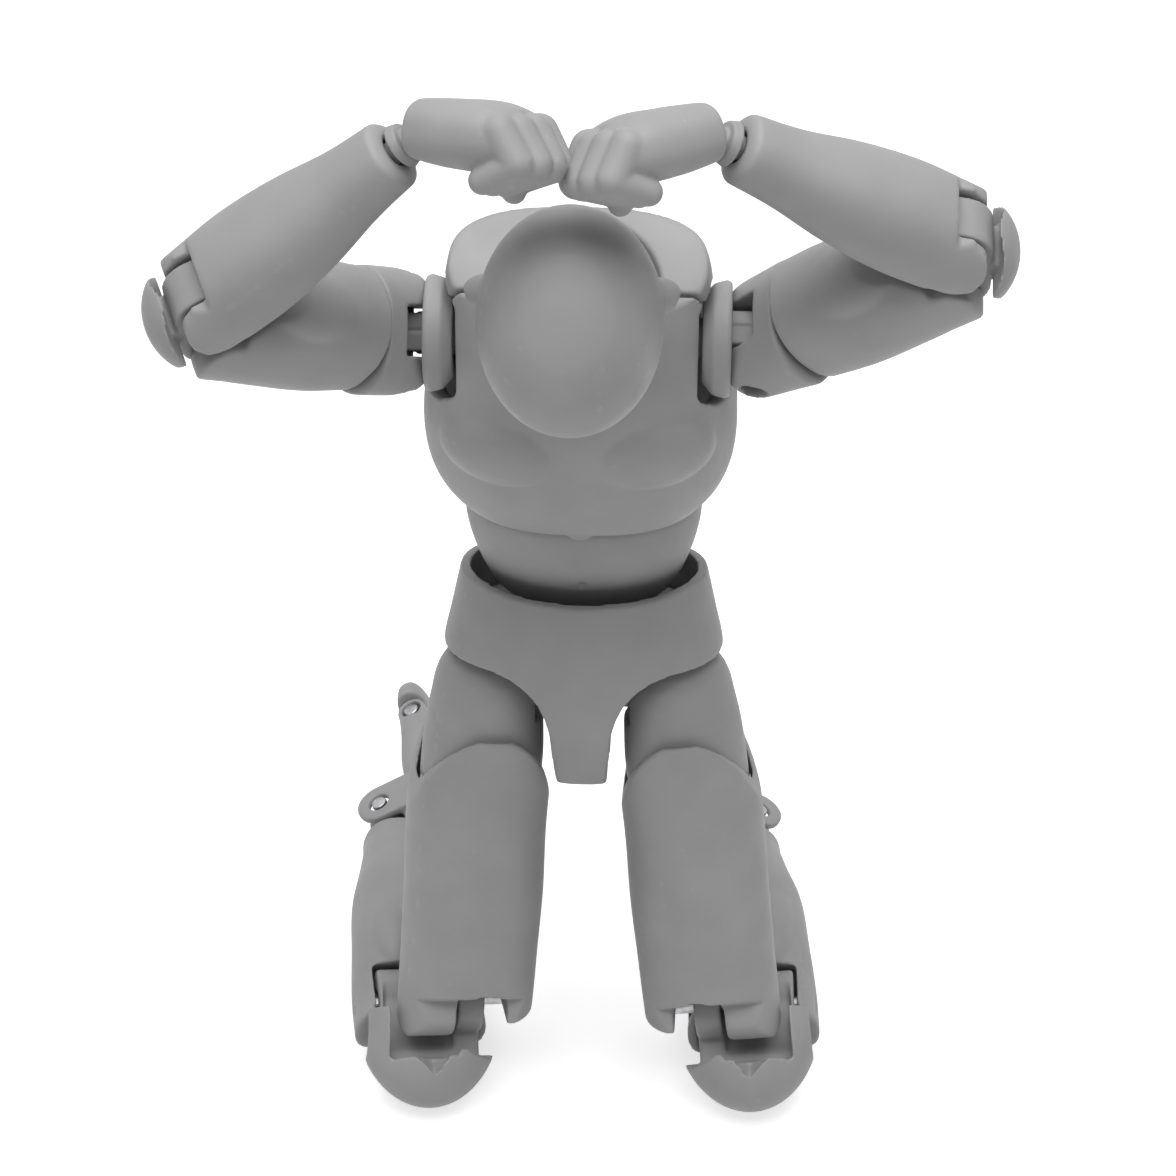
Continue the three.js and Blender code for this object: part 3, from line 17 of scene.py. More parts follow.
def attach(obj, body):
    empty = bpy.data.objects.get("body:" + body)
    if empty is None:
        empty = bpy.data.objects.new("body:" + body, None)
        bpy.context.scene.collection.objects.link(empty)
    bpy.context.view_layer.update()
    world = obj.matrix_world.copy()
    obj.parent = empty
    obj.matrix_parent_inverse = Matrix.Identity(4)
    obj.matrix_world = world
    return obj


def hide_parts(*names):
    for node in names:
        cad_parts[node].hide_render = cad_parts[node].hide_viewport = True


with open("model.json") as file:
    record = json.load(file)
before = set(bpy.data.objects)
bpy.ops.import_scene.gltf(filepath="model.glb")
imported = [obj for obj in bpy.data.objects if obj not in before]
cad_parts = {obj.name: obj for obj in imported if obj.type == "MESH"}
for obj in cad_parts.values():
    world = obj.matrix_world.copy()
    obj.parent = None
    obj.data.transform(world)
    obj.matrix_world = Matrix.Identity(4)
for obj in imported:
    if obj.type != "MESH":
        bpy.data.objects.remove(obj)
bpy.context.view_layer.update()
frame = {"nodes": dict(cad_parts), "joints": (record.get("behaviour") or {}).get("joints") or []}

bl_info = {
    "name": "Jointed Drawing Figure",
    "version": (1, 0, 0),
    "blender": (4, 5, 0),
    "location": "View3D > Sidebar > Figure",
    "description": "Models the moulded pieces of a jointed drawing figure on its packed joints",
    "category": "Object",
}

MM = 0.001
SIDES = {"right": -1, "left": 1}
GAP = 0.3
SWING_GAP = 0.45
# Past the length of every piece, and past its width
FAR = 30.0
WIDE = 14.0
# Keeps the faces of two pieces that are joined or cut from coinciding
NUDGE = Vector((0.0011, 0.0017, 0.0013))

# Head, neck and trunk
HEAD_JOINT_DROP = 4.8
HEAD_FORWARD = 2.2
HEAD_NOD = 19.0
NECK_BALL = 2.3
NECK_STEM = 1.3
NECK_DROP = 3.2
NECK_LENGTH = 7.2
NECK_TOP_BACK = -0.6
NECK_BASE_HEIGHT = 22.4
NECK_BASE_BACK = 1.5
HEAD_JOINT_Z = NECK_DROP + NECK_LENGTH + 1.4
NECK_OPENING = 5.2
NECK_OPENING_TOP = 7.8
CHEST_FRONT = 8.9
CHEST_BACK = 8.2
CHEST_RIM = -0.7
CHEST_TOP = NECK_BASE_HEIGHT + 3.0
SHOULDER_HEIGHT = 18.9
SHOULDER_PIN_X = 13.9
TRUNK_BALL = 2.7
TRUNK_STEM = 1.5
WAIST_TO_CHEST = 13.0
CHEST_STEM = 8.6
ABDOMEN_HALF_DEPTH = 6.4
ABDOMEN_BELOW = 4.0
ABDOMEN_ABOVE = 11.6
PELVIS_FRONT = 7.9
PELVIS_BACK = 8.8
PELVIS_TOP = 12.2
PELVIS_BOTTOM = -8.6
RIM_DIP = 0.9
RIM_DIP_WIDTH = 19.0
STRAP = 2.6

# Arms
PIN_RADIUS = 0.8
PIN_SEAT = 1.3
CAP_BASE = 1.0
CAP_FULLNESS = 1.15
WEB_MARGIN = 1.1
CUP_RADIUS = 4.7
CUP_DEPTH = 2.3
CUP_FACE = -1.8
SHOULDER_AXLE = 1.7
SHOULDER_TANG = 3.0
SHOULDER_TANG_RADIUS = 2.1
SHOULDER_PIN_HALF = 3.876
AXLE_END = 6.1
DELTOID_LENGTH = 5.0
DELTOID_DEPTH = 10.2
ARM_STEM = 1.6
ARM_STEM_LENGTH = 5.0
UPPER_ARM_LENGTH = 18.9
UPPER_ARM_HALF = 4.6
ELBOW_LINK_WIDTH = 3.4
ELBOW_SLOT = ELBOW_LINK_WIDTH / 2 + GAP
ELBOW_PIN_HALF = ELBOW_SLOT + PIN_SEAT
ELBOW_CAP_HALF = 4.0
ELBOW_CAP_REACH = 5.0
ELBOW_CAP_HEIGHT = 7.8
FOREARM_LENGTH = 19.8
FOREARM_END = 2.5
WRIST_BALL = 1.4
WRIST_STEM = 0.9
WRIST_STEM_LENGTH = 7.0
WRIST_REACH = 2.6
WRIST_TURN = {"right": 14.0, "left": 27.0}
WRIST_ANGLE = {"right": 39.9, "left": 32.6}

# Legs
HIP_DOME = 5.0
HIP_TANG = 3.4
HIP_TANG_RADIUS = 2.6
HIP_AXLE = 1.8
HIP_AXLE_LENGTH = 6.8
HIP_PIN_HALF = HIP_TANG / 2 + GAP + PIN_SEAT
THIGH_TOP_LENGTH = 12.0
THIGH_TOP_RADIUS = 5.5
THIGH_STEM = 2.1
THIGH_STEM_LENGTH = 6.0
THIGH_LENGTH = 34.0
THIGH_HALF_DEPTH = 6.7
THIGH_SLEEVE = THIGH_TOP_RADIUS + GAP + 0.6
THIGH_RIM = -2.8
THIGH_RIM_ARCH = 13.0
KNEE_SETBACK = 1.4
KNEE_OUTWARD = 2.6
KNEE_LOBE_IN = -1.8
KNEE_LINK_IN = -4.6
KNEE_LINK_OUT = 5.8
KNEE_HUB_OUT = 4.6
KNEE_SLOT_IN = KNEE_LINK_IN - GAP - 1.2
KNEE_PIN_IN = KNEE_SLOT_IN - PIN_SEAT
KNEE_PIN_OUT = KNEE_LOBE_IN + 2 * PIN_SEAT
LOWER_PIN_HALF = 5.3
KNEE_CAP_REACH = 10.2
KNEE_CAP_HEIGHT = 11.9
KNEE_CAP_HALF = KNEE_LINK_OUT + 0.3
KNEE_CHEEK_IN = 4.3
KNEE_LOBE_MIDDLE = 0.9
KNEE_LOBE_ROUND = 2.9
KNEE_SLOT_TOP = 1.9
SHIN_LENGTH = 27.4
SHIN_HALF = 5.9
SHIN_END = 3.5
SHIN_DIMPLE = 1.4
SHIN_DIMPLE_IN = -5.75
SHIN_DIMPLE_OUT = 6.45
ANKLE_BALL = 2.3
ANKLE_STEM = 1.3
ANKLE_STEM_LENGTH = 8.0
ANKLE_HEIGHT = 7.6
FOOT_FRONT = 12.2
FOOT_HEEL = 5.6
FOOT_WIDTH = 8.4
TOE_LENGTH = 5.4
TOE_THICKNESS = 3.4
TOE_HINGE_HEIGHT = ANKLE_HEIGHT - TOE_THICKNESS / 2
TOE_KNUCKLE = 1.5
TOE_KNUCKLE_HALF = 1.8

# What the camera looks at, seen from the middle of the hips
TARGET_FROM_HIPS = (0.0, 10.794, 2.723)

# Stage, in metres
FLOOR_SIZE = 4
FLOOR_GLOW = 0.66
LIGHT_TARGET = (0, 0, 0.05)
OVERHEAD_PLACE = (0.0, -0.12, 0.74)
OVERHEAD_SIZE = 0.62
FRONT_PLACE = (-0.25, -0.6, 0.42)
FRONT_SIZE = 0.45
SENSOR_WIDTH = 36

# Two-pin joints; fore is the side of the cap, -1 for the front
ELBOW = {"fore": 1, "pin_gap": 4.4, "arm": 2.9, "round": 2.05, "nose": 0.5, "nose_radius": 2.5,
         "cap_inner": 3.6, "edge": 34, "sweep": 112, "fold": 58}
KNEE = {"fore": -1, "pin_gap": 5.2, "arm": 3.3, "round": 2.45, "nose": 1.6, "nose_radius": 4.0,
        "cap_inner": 5.9, "edge": 32, "sweep": 114, "fold": 57}


# Properties that a user would change

class FigureShapes(bpy.types.PropertyGroup):
    head_width: FloatProperty(
        name="Head width", description="Width of the head without its ears",
        default=0.0139, unit="LENGTH")
    head_depth: FloatProperty(
        name="Head depth", description="Depth of the head from front to back",
        default=0.0172, unit="LENGTH")
    ear_height: FloatProperty(
        name="Ear height", description="Height of each ear", default=0.0040, unit="LENGTH")
    chest_width: FloatProperty(
        name="Chest width", description="Width of the chest at its fullest",
        default=0.0256, unit="LENGTH")
    chest_wall: FloatProperty(
        name="Chest wall", description="Thickness of the chest's two shells",
        default=0.0013, unit="LENGTH")
    abdomen_width: FloatProperty(
        name="Abdomen width", description="Width of the belly piece",
        default=0.0204, unit="LENGTH")
    pelvis_width: FloatProperty(
        name="Pelvis width", description="Width of the brief-shaped cover",
        default=0.0250, unit="LENGTH")
    pelvis_wall: FloatProperty(
        name="Pelvis wall", description="Thickness of the brief-shaped cover",
        default=0.0012, unit="LENGTH")
    upper_arm_depth: FloatProperty(
        name="Upper arm depth", description="Depth of the upper arm",
        default=0.0108, unit="LENGTH")
    forearm_width: FloatProperty(
        name="Forearm width", description="Width of the forearm at its fullest",
        default=0.0084, unit="LENGTH")
    thigh_width: FloatProperty(
        name="Thigh width", description="Width of the thigh at its fullest",
        default=0.0128, unit="LENGTH")
    calf_depth: FloatProperty(
        name="Calf depth", description="Depth of the shin piece at the calf",
        default=0.0120, unit="LENGTH")


class FigureFinish(bpy.types.PropertyGroup):
    body_colour: FloatVectorProperty(
        name="Body colour", description="Grey of the outer mouldings",
        subtype="COLOR", default=(0.40, 0.40, 0.40))
    joint_colour: FloatVectorProperty(
        name="Joint colour", description="Grey of the hinge mouldings",
        subtype="COLOR", default=(0.36, 0.36, 0.36))
    steel_colour: FloatVectorProperty(
        name="Pin colour", description="Colour of the steel pins",
        subtype="COLOR", default=(0.46, 0.46, 0.47))
    body_roughness: FloatProperty(
        name="Body roughness", description="Mean roughness of the outer mouldings",
        default=0.56, min=0, max=1, subtype="FACTOR")
    # How much the convex edges are paled: partly wear, partly painted highlight
    edge_wear_and_highlight: FloatProperty(
        name="Edge wear", description="How much paler the rubbed edges are",
        default=0.2, min=0, max=1, subtype="FACTOR")
    grain: FloatProperty(
        name="Grain depth", description="Height of the fine moulded grain",
        default=0.000012, unit="LENGTH")
    skin: FloatProperty(
        name="Mesh size", description="Size of the faces that the pieces are skinned with",
        default=0.00021, unit="LENGTH")
    softening: IntProperty(
        name="Softening", description="Smoothing passes over moulded edges", default=4, min=0)


class FigureStage(bpy.types.PropertyGroup):
    lens: FloatProperty(
        name="Lens", description="Focal length of the camera", default=92.97, unit="CAMERA")
    distance: FloatProperty(
        name="Camera distance", description="From the camera to what it looks at",
        default=0.280, unit="LENGTH")
    elevation: FloatProperty(
        name="Elevation", description="How far the camera looks down",
        default=radians(38), subtype="ANGLE")
    azimuth: FloatProperty(
        name="Azimuth", description="How far the camera stands round from the front",
        default=radians(2.3), subtype="ANGLE")
    overhead_power: FloatProperty(
        name="Overhead light", description="Power of the soft light above",
        default=5.0, unit="POWER")
    front_power: FloatProperty(
        name="Front light", description="Power of the soft light in front",
        default=0.1, unit="POWER")
    surround: FloatProperty(
        name="Surround", description="Strength of the even light all round", default=0.15)
    floor_colour: FloatVectorProperty(
        name="Floor colour", description="Pale colour of the floor",
        subtype="COLOR", default=(0.8, 0.8, 0.8))


def shapes(name):
    """A size of the figure in millimetres."""
    return getattr(bpy.context.scene.figure_shapes, name) / MM


# Working on one object at a time

def deselect():
    bpy.ops.object.select_all(action="DESELECT")


def take(piece):
    """Makes one object the only one selected, and active."""
    deselect()
    piece.select_set(True)
    bpy.context.view_layer.objects.active = piece
    return piece


def frozen(piece):
    """Puts an object's place, turn and size into its mesh."""
    take(piece)
    bpy.ops.object.transform_apply(location=True, rotation=True, scale=True)
    return piece


def moved(piece, matrix):
    take(piece).matrix_world = matrix @ piece.matrix_world
    return frozen(piece)


def shifted(piece, x=0.0, y=0.0, z=0.0):
    return moved(piece, Matrix.Translation((x, y, z)))


def turned(piece, axis, angle):
    """Turns a piece about an axis through the origin, angle in degrees."""
    return moved(piece, Matrix.Rotation(radians(angle), 4, axis.upper()))


def open_mesh():
    """Goes into edit mode with everything selected."""
    bpy.ops.object.mode_set(mode="EDIT")
    bpy.ops.mesh.select_all(action="SELECT")


def close_mesh():
    """Makes every face point out and leaves edit mode."""
    bpy.ops.mesh.select_all(action="SELECT")
    bpy.ops.mesh.normals_make_consistent(inside=False)
    bpy.ops.object.mode_set(mode="OBJECT")


def mirrored(piece):
    moved(piece, Matrix.Scale(-1, 4, (1, 0, 0)))
    open_mesh()
    close_mesh()
    return piece


def copied(piece):
    take(piece)
    bpy.ops.object.duplicate(linked=False)
    return bpy.context.object


# Primitives, in millimetres

def block(x0, x1, y0, y1, z0, z1):
    deselect()
    centre = ((x0 + x1) / 2, (y0 + y1) / 2, (z0 + z1) / 2)
    bpy.ops.mesh.primitive_cube_add(size=1, location=centre)
    cube = bpy.context.object
    cube.scale = (x1 - x0, y1 - y0, z1 - z0)
    return frozen(cube)


def slab(axis, low, high):
    """All that lies between two planes across an axis."""
    spans = {name: (-FAR, FAR) for name in "xyz"}
    spans[axis] = (low, high)
    return block(*spans["x"], *spans["y"], *spans["z"])


def bar(axis, radius, low, high, place=(0, 0), top=None, vertices=48):
    """Round bar along an axis; place is its centre on the other two axes, in order."""
    deselect()
    centre = list(place)
    centre.insert("xyz".index(axis), (low + high) / 2)
    bar_turn = {"x": (0, pi / 2, 0), "y": (-pi / 2, 0, 0), "z": (0, 0, 0)}[axis]
    bpy.ops.mesh.primitive_cone_add(
        vertices=vertices, radius1=radius, radius2=radius if top is None else top,
        depth=high - low, location=centre, rotation=bar_turn)
    return frozen(bpy.context.object)


def globe(radii, place=(0, 0, 0), turn=(0, 0, 0), segments=40):
    deselect()
    bpy.ops.mesh.primitive_uv_sphere_add(
        segments=segments, ring_count=segments // 2, radius=1, location=place,
        rotation=[radians(angle) for angle in turn])
    bpy.context.object.scale = radii
    return frozen(bpy.context.object)


def ball(radius, place=(0, 0, 0), segments=40):
    return globe([radius] * 3, place, segments=segments)


def cone(start, end, radius, end_radius, vertices=32):
    start, end = Vector(start), Vector(end)
    deselect()
    bpy.ops.mesh.primitive_cone_add(
        vertices=vertices, radius1=radius, radius2=end_radius, depth=(end - start).length,
        location=(start + end) / 2, rotation=(end - start).to_track_quat("Z", "Y").to_euler())
    return frozen(bpy.context.object)


def rod(start, end, radius, end_radius):
    """Round-ended rod between two points."""
    return joined(cone(start, end, radius, end_radius),
                  ball(radius, start, segments=32), ball(end_radius, end, segments=32))


def drawn(corners):
    """One vertex led through all the corners, left in edit mode."""
    deselect()
    bpy.ops.mesh.primitive_plane_add(size=1, location=corners[0])
    outline = frozen(bpy.context.object)
    open_mesh()
    bpy.ops.mesh.merge(type="CENTER")
    for corner, following in zip(corners, corners[1:]):
        bpy.ops.mesh.extrude_vertices_move(TRANSFORM_OT_translate={"value": following - corner})
    bpy.ops.mesh.select_all(action="SELECT")
    return outline


def plate(points, axis, low, high):
    """Outline across an axis, filled and given thickness along it."""
    corners = [list(point) for point in points]
    for corner in corners:
        corner.insert("xyz".index(axis), low)
    outline = drawn([Vector(corner) for corner in corners])
    bpy.ops.mesh.edge_face_add()
    thickness = Vector((0, 0, 0))
    thickness["xyz".index(axis)] = high - low
    bpy.ops.mesh.extrude_region_move(TRANSFORM_OT_translate={"value": thickness})
    close_mesh()
    return outline


def lathed(profile, steps=64):
    """Closed profile of (x, radius) points, spun round the X axis."""
    corners = [Vector((x, radius, 0)) for x, radius in profile]
    outline = drawn(corners + corners[:1])
    bpy.ops.mesh.spin(steps=steps, angle=2 * pi, center=(0, 0, 0), axis=(1, 0, 0))
    bpy.ops.mesh.select_all(action="SELECT")
    bpy.ops.mesh.remove_doubles(threshold=0.01)
    close_mesh()
    return outline


def section_at(table, z):
    """Smoothly interpolated station of a loft at a height."""
    heights, values = table[:, 0], table[:, 1:]
    slopes = np.gradient(values, heights, axis=0)
    k = int(np.clip(np.searchsorted(heights, z) - 1, 0, len(heights) - 2))
    span = heights[k + 1] - heights[k]
    t = (z - heights[k]) / span
    return ((1 + 2 * t) * (1 - t) ** 2 * values[k] + t * (1 - t) ** 2 * span * slopes[k]
            + t * t * (3 - 2 * t) * values[k + 1] + t * t * (t - 1) * span * slopes[k + 1])


def loft(stations, unit=(1, 1, 1, 1), cap_low=0.0, cap_high=0.0, square=0.535, rings=20, sides=48):
    """Body through stations (z, middle y, inner, outer, front, back) for a left-hand piece.

    The last four are shares of the unit. One rounded ring is drawn and extruded through
    all the heights; capped ends close like domes. Square is 0.5 for a round section and
    more for a squarer one.
    """
    table = np.array(sorted(stations), float)
    table[:, 2:] *= unit
    low, high = table[0, 0], table[-1, 0]
    dome = [pi / 2 * (i + 0.3) / 7 for i in range(7)]
    levels = [(low + cap_low * (1 - cos(a)), sin(a)) for a in dome if cap_low]
    levels += [(float(z), 1.0) for z in np.linspace(low + cap_low, high - cap_high, rings)]
    levels += [(high - cap_high * (1 - cos(a)), sin(a)) for a in reversed(dome) if cap_high]

    def ring(z, share):
        middle, inner, outer, front, back = section_at(table, z)
        centre = Vector(((outer - inner) / 2 * share, middle + (back - front) / 2 * share, z))
        return centre, (inner + outer) / 2 * share, (front + back) / 2 * share

    centre, wide, deep = ring(*levels[0])
    deselect()
    bpy.ops.mesh.primitive_plane_add(size=2, location=centre)
    body = frozen(bpy.context.object)
    open_mesh()
    bpy.ops.mesh.bevel(offset=1, segments=sides // 4, profile=square, affect="VERTICES")
    bpy.ops.mesh.select_all(action="SELECT")
    bpy.ops.mesh.remove_doubles(threshold=0.001)
    bpy.ops.transform.resize(value=(wide, deep, 1), center_override=centre)
    for level in levels[1:]:
        following, next_wide, next_deep = ring(*level)
        bpy.ops.mesh.extrude_region_move(TRANSFORM_OT_translate={"value": following - centre})
        bpy.ops.transform.resize(
            value=(next_wide / wide, next_deep / deep, 1), center_override=following)
        centre, wide, deep = following, next_wide, next_deep
    close_mesh()
    return body


# Joining, cutting and skinning

def combined(body, operation, tools):
    """Joins, cuts or trims by each tool, set off a hair so that no two faces coincide."""
    for number, tool in enumerate(tools, 1):
        tool.location = NUDGE * number
        modifier = take(body).modifiers.new("Combined", "BOOLEAN")
        modifier.operation = operation
        modifier.solver = "EXACT"
        modifier.object = tool
        bpy.ops.object.modifier_apply(modifier=modifier.name)
        bpy.data.objects.remove(tool)
    if not body.data.polygons:
        raise RuntimeError(f"{operation} left nothing of a piece")
    return body


def joined(body, *tools):
    return combined(body, "UNION", tools)


def cut(body, *tools):
    return combined(body, "DIFFERENCE", tools)


def common(body, *tools):
    return combined(body, "INTERSECT", tools)


def moulded(piece, share=1.0, passes=None):
    """Skins a piece evenly, with faces a share of the usual size, and softens its edges."""
    finish = bpy.context.scene.figure_finish
    remesh = take(piece).modifiers.new("Skin", "REMESH")
    remesh.mode = "VOXEL"
    remesh.voxel_size = finish.skin / MM * share * 1
    bpy.ops.object.modifier_apply(modifier=remesh.name)
    soften = piece.modifiers.new("Soften", "SMOOTH")
    soften.factor = 0.5
    soften.iterations = finish.softening if passes is None else passes
    bpy.ops.object.modifier_apply(modifier=soften.name)
    bpy.ops.object.shade_smooth()
    return piece


# Frames of the joints

JOINTS = {joint["name"]: joint for joint in frame["joints"]}
ACROSS = Vector((1, 0, 0))


def pivot(name):
    return Vector(JOINTS[name]["pos_m"])


def hinge(name):
    return Vector(JOINTS[name]["axis"]).normalized()


def setting(origin, across, along):
    """Frame at an origin with Z along and X across."""
    z = along.normalized()
    x = (across - z * across.dot(z)).normalized()
    columns = Matrix((x, z.cross(x), z)).transposed()
    return Matrix.Translation(origin) @ columns.to_4x4()


def trunk_frame(piece):
    if piece == "pelvis":
        hips = (pivot("right_hip_swing") + pivot("left_hip_swing")) / 2
        return setting(hips, ACROSS, hinge("waist_twist"))
    if piece == "abdomen":
        return setting(pivot("waist_bend"), ACROSS, hinge("chest_twist"))
    if piece == "chest":
        shoulders = (pivot("right_shoulder_swing") + pivot("left_shoulder_swing")) / 2
        return setting(pivot("chest_bend"), ACROSS, shoulders - pivot("chest_bend"))
    if piece == "neck":
        return setting(pivot("neck_bend"), ACROSS, hinge("head_turn"))
    nodded = Matrix.Rotation(radians(HEAD_NOD), 3, "X") @ hinge("head_turn")
    return setting(pivot("head_nod"), ACROSS, nodded)


def arm_frame(piece, name):
    side = SIDES[name]
    shoulder, elbow = pivot(f"{name}_shoulder_raise"), pivot(f"{name}_elbow_upper")
    raised = hinge(f"{name}_shoulder_raise") * -side
    bent = -hinge(f"{name}_elbow_upper")
    if piece == "shoulder":
        return setting(shoulder, ACROSS, ACROSS.cross(raised))
    if piece == "deltoid":
        return setting(shoulder, raised.cross(shoulder - elbow), shoulder - elbow)
    if piece == "upper_arm":
        return setting(shoulder, bent, shoulder - elbow)
    lower, wrist = pivot(f"{name}_elbow_lower"), pivot(f"{name}_wrist_bend")
    if piece == "elbow":
        return setting(elbow, bent, elbow - lower)
    if piece == "forearm":
        return setting(lower, bent, lower - wrist)
    peg = setting(wrist, bent, lower - wrist) @ Matrix.Rotation(
        radians(side * WRIST_TURN[name]), 4, "Z")
    if piece == "wrist":
        return peg
    return peg @ Matrix.Rotation(radians(side * WRIST_ANGLE[name]), 4, "Y")


def leg_frame(piece, name):
    hip, knee = pivot(f"{name}_hip_spread"), pivot(f"{name}_knee_upper")
    spread = hinge(f"{name}_hip_spread") * -SIDES[name]
    folded = hinge(f"{name}_knee_upper")
    along = hip - knee + folded * (SIDES[name] * KNEE_OUTWARD * MM)
    if piece == "hip":
        return setting(hip, ACROSS, ACROSS.cross(spread))
    if piece == "thigh_top":
        return setting(hip, spread.cross(along), along)
    if piece == "thigh":
        return setting(hip, folded, along)
    lower, ankle = pivot(f"{name}_knee_lower"), pivot(f"{name}_ankle_bend")
    if piece == "knee":
        return setting(knee, folded, knee - lower)
    if piece == "shin":
        return setting(lower, folded, lower - ankle)
    if piece == "ankle":
        return setting(ankle, hinge(f"{name}_ankle_bend"), lower - ankle)
    across, toe = hinge(f"{name}_toe_bend"), pivot(f"{name}_toe_bend")
    reach = toe - ankle
    upright = reach * -TOE_HINGE_HEIGHT - across.cross(reach) * FOOT_FRONT
    return setting(toe if piece == "toe" else ankle, across, upright)


# Finishes

def linked(tree, source, target):
    tree.links.new(source, target)


def noise(tree, place, scale, detail=3.0, rough=0.5):
    node = tree.nodes.new("ShaderNodeTexNoise")
    node.inputs["Scale"].default_value = scale
    node.inputs["Detail"].default_value = detail
    node.inputs["Roughness"].default_value = rough
    linked(tree, place, node.inputs["Vector"])
    return node.outputs["Fac"]


def ranged(tree, source, from_low, from_high, to_low, to_high):
    node = tree.nodes.new("ShaderNodeMapRange")
    for name, value in zip(("From Min", "From Max", "To Min", "To Max"),
                           (from_low, from_high, to_low, to_high)):
        node.inputs[name].default_value = value
    linked(tree, source, node.inputs["Value"])
    return node.outputs["Result"]


def product(tree, first, second):
    node = tree.nodes.new("ShaderNodeMath")
    node.operation = "MULTIPLY"
    linked(tree, first, node.inputs[0])
    linked(tree, second, node.inputs[1])
    return node.outputs["Value"]


def blended(tree, factor, first, second):
    """Colour between two: each is a colour or an output."""
    node = tree.nodes.new("ShaderNodeMix")
    node.data_type = "RGBA"
    linked(tree, factor, node.inputs["Factor"])
    for name, value in (("A", first), ("B", second)):
        socket = next(s for s in node.inputs if s.name == name and s.type == "RGBA")
        if isinstance(value, bpy.types.NodeSocket):
            linked(tree, value, socket)
        else:
            socket.default_value = (*value, 1)
    return next(s for s in node.outputs if s.type == "RGBA")


def relief(tree, place, scale, strength, height, beneath=None):
    """Bumps from fine noise, laid over the relief beneath them."""
    node = tree.nodes.new("ShaderNodeBump")
    node.inputs["Strength"].default_value = strength
    node.inputs["Distance"].default_value = height
    linked(tree, noise(tree, place, scale, 2.0), node.inputs["Height"])
    if beneath:
        linked(tree, beneath, node.inputs["Normal"])
    return node.outputs["Normal"]


def new_material(name, colour):
    """A material with its node tree and its shader."""
    material = bpy.data.materials.new(name)
    material.use_nodes = True
    material.diffuse_color = (*colour, 1)
    tree = material.node_tree
    return material, tree, tree.nodes["Principled BSDF"]


def shade(colour, amount):
    return tuple(min(1, channel * amount) for channel in colour)


def plastic(name, colour, roughness):
    """Matte moulded plastic: cloudy tone, fine grain, flow marks, edges paled partly by wear and partly
    as painted highlight, and painted shade in the recesses.
    """
    look = bpy.context.scene.figure_finish
    material, tree, shader = new_material(name, colour)
    place = tree.nodes.new("ShaderNodeTexCoord").outputs["Object"]
    cloud = ranged(tree, noise(tree, place, 170, 4.0), 0.3, 0.7, 0, 1)
    toned = blended(tree, cloud, shade(colour, 0.94), shade(colour, 1.05))
    edges = tree.nodes.new("ShaderNodeNewGeometry").outputs["Pointiness"]
    # Convex edges (high pointiness) are paled and broken up by noise: partly wear, partly a painted
    # highlight where light catches the edges
    edge_breakup = ranged(tree, noise(tree, place, 900, 3.0, 0.6), 0.35, 0.65, 0.25, 1)
    rubbed_and_highlit = product(tree, ranged(tree, edges, 0.54, 0.62, 0, look.edge_wear_and_highlight), edge_breakup)
    worn_and_highlit = blended(tree, rubbed_and_highlit, toned, shade(colour, 1.5))
    # Painted shade: creases and recesses (low pointiness) are darkened as though in shadow
    painted_crevice_shade = ranged(tree, edges, 0.49, 0.42, 0, 0.35)
    crevice_shaded_colour = blended(tree, painted_crevice_shade, worn_and_highlit, shade(colour, 0.72))
    linked(tree, crevice_shaded_colour, shader.inputs["Base Color"])
    streaks = noise(tree, place, 420, 5.0, 0.55)
    linked(tree, ranged(tree, streaks, 0.3, 0.7, roughness - 0.06, roughness + 0.06),
           shader.inputs["Roughness"])
    grain = relief(tree, place, 5200, 0.6, look.grain)
    flow_marks = relief(tree, place, 330, 0.5, look.grain * 5, grain)
    linked(tree, flow_marks, shader.inputs["Normal"])
    shader.inputs["Specular IOR Level"].default_value = 0.42
    return material


def steel(name, colour):
    """Ground steel of the pins: fine drawn lines and a few duller patches."""
    material, tree, shader = new_material(name, colour)
    shader.inputs["Metallic"].default_value = 1
    place = tree.nodes.new("ShaderNodeTexCoord").outputs["Object"]
    patches = ranged(tree, noise(tree, place, 1500, 3.0), 0.35, 0.65, 0, 1)
    linked(tree, blended(tree, patches, shade(colour, 0.8), shade(colour, 1.1)),
           shader.inputs["Base Color"])
    linked(tree, ranged(tree, noise(tree, place, 2600, 4.0), 0.3, 0.7, 0.3, 0.5),
           shader.inputs["Roughness"])
    linked(tree, relief(tree, place, 9000, 0.4, 0.000008), shader.inputs["Normal"])
    return material


def finish_for(slot):
    """The material of a slot, made when it is first asked for."""
    name = f"{slot}_finish"
    if name not in bpy.data.materials:
        look = bpy.context.scene.figure_finish
        if slot == "pin_steel":
            return steel(name, tuple(look.steel_colour))
        colour = look.joint_colour if slot == "joint_plastic" else look.body_colour
        roughness = look.body_roughness - (0.04 if slot == "joint_plastic" else 0)
        return plastic(name, tuple(colour), roughness)
    return bpy.data.materials[name]


def placed(piece, node, body, matrix, slot="body_plastic"):
    """Sets a piece modelled in millimetres into its joint's frame and in its node's place."""
    moved(piece, matrix @ Matrix.Scale(MM, 4))
    piece.name = piece.data.name = f"{node}_moulding"
    piece.data.materials.clear()
    piece.data.materials.append(finish_for(slot))
    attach(piece, body)
    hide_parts(node)


def placed_pair(master, node, frames, body, slot="body_plastic", joint=None):
    """Copies a left-hand piece to both sides, mirrored for the right one.

    The joint whose frame it is modelled in has the body's name unless it is given.
    """
    for name, side in SIDES.items():
        piece = copied(master)
        if side < 0:
            mirrored(piece)
        placed(piece, f"{name}_{node}", f"{name}_{body}", frames(joint or body, name), slot)
    bpy.data.objects.remove(master)


# Ends of limbs at two-pin joints, with the pin on the X axis. Beyond is -1 where the
# other limb lies below the pin and 1 where it lies above.

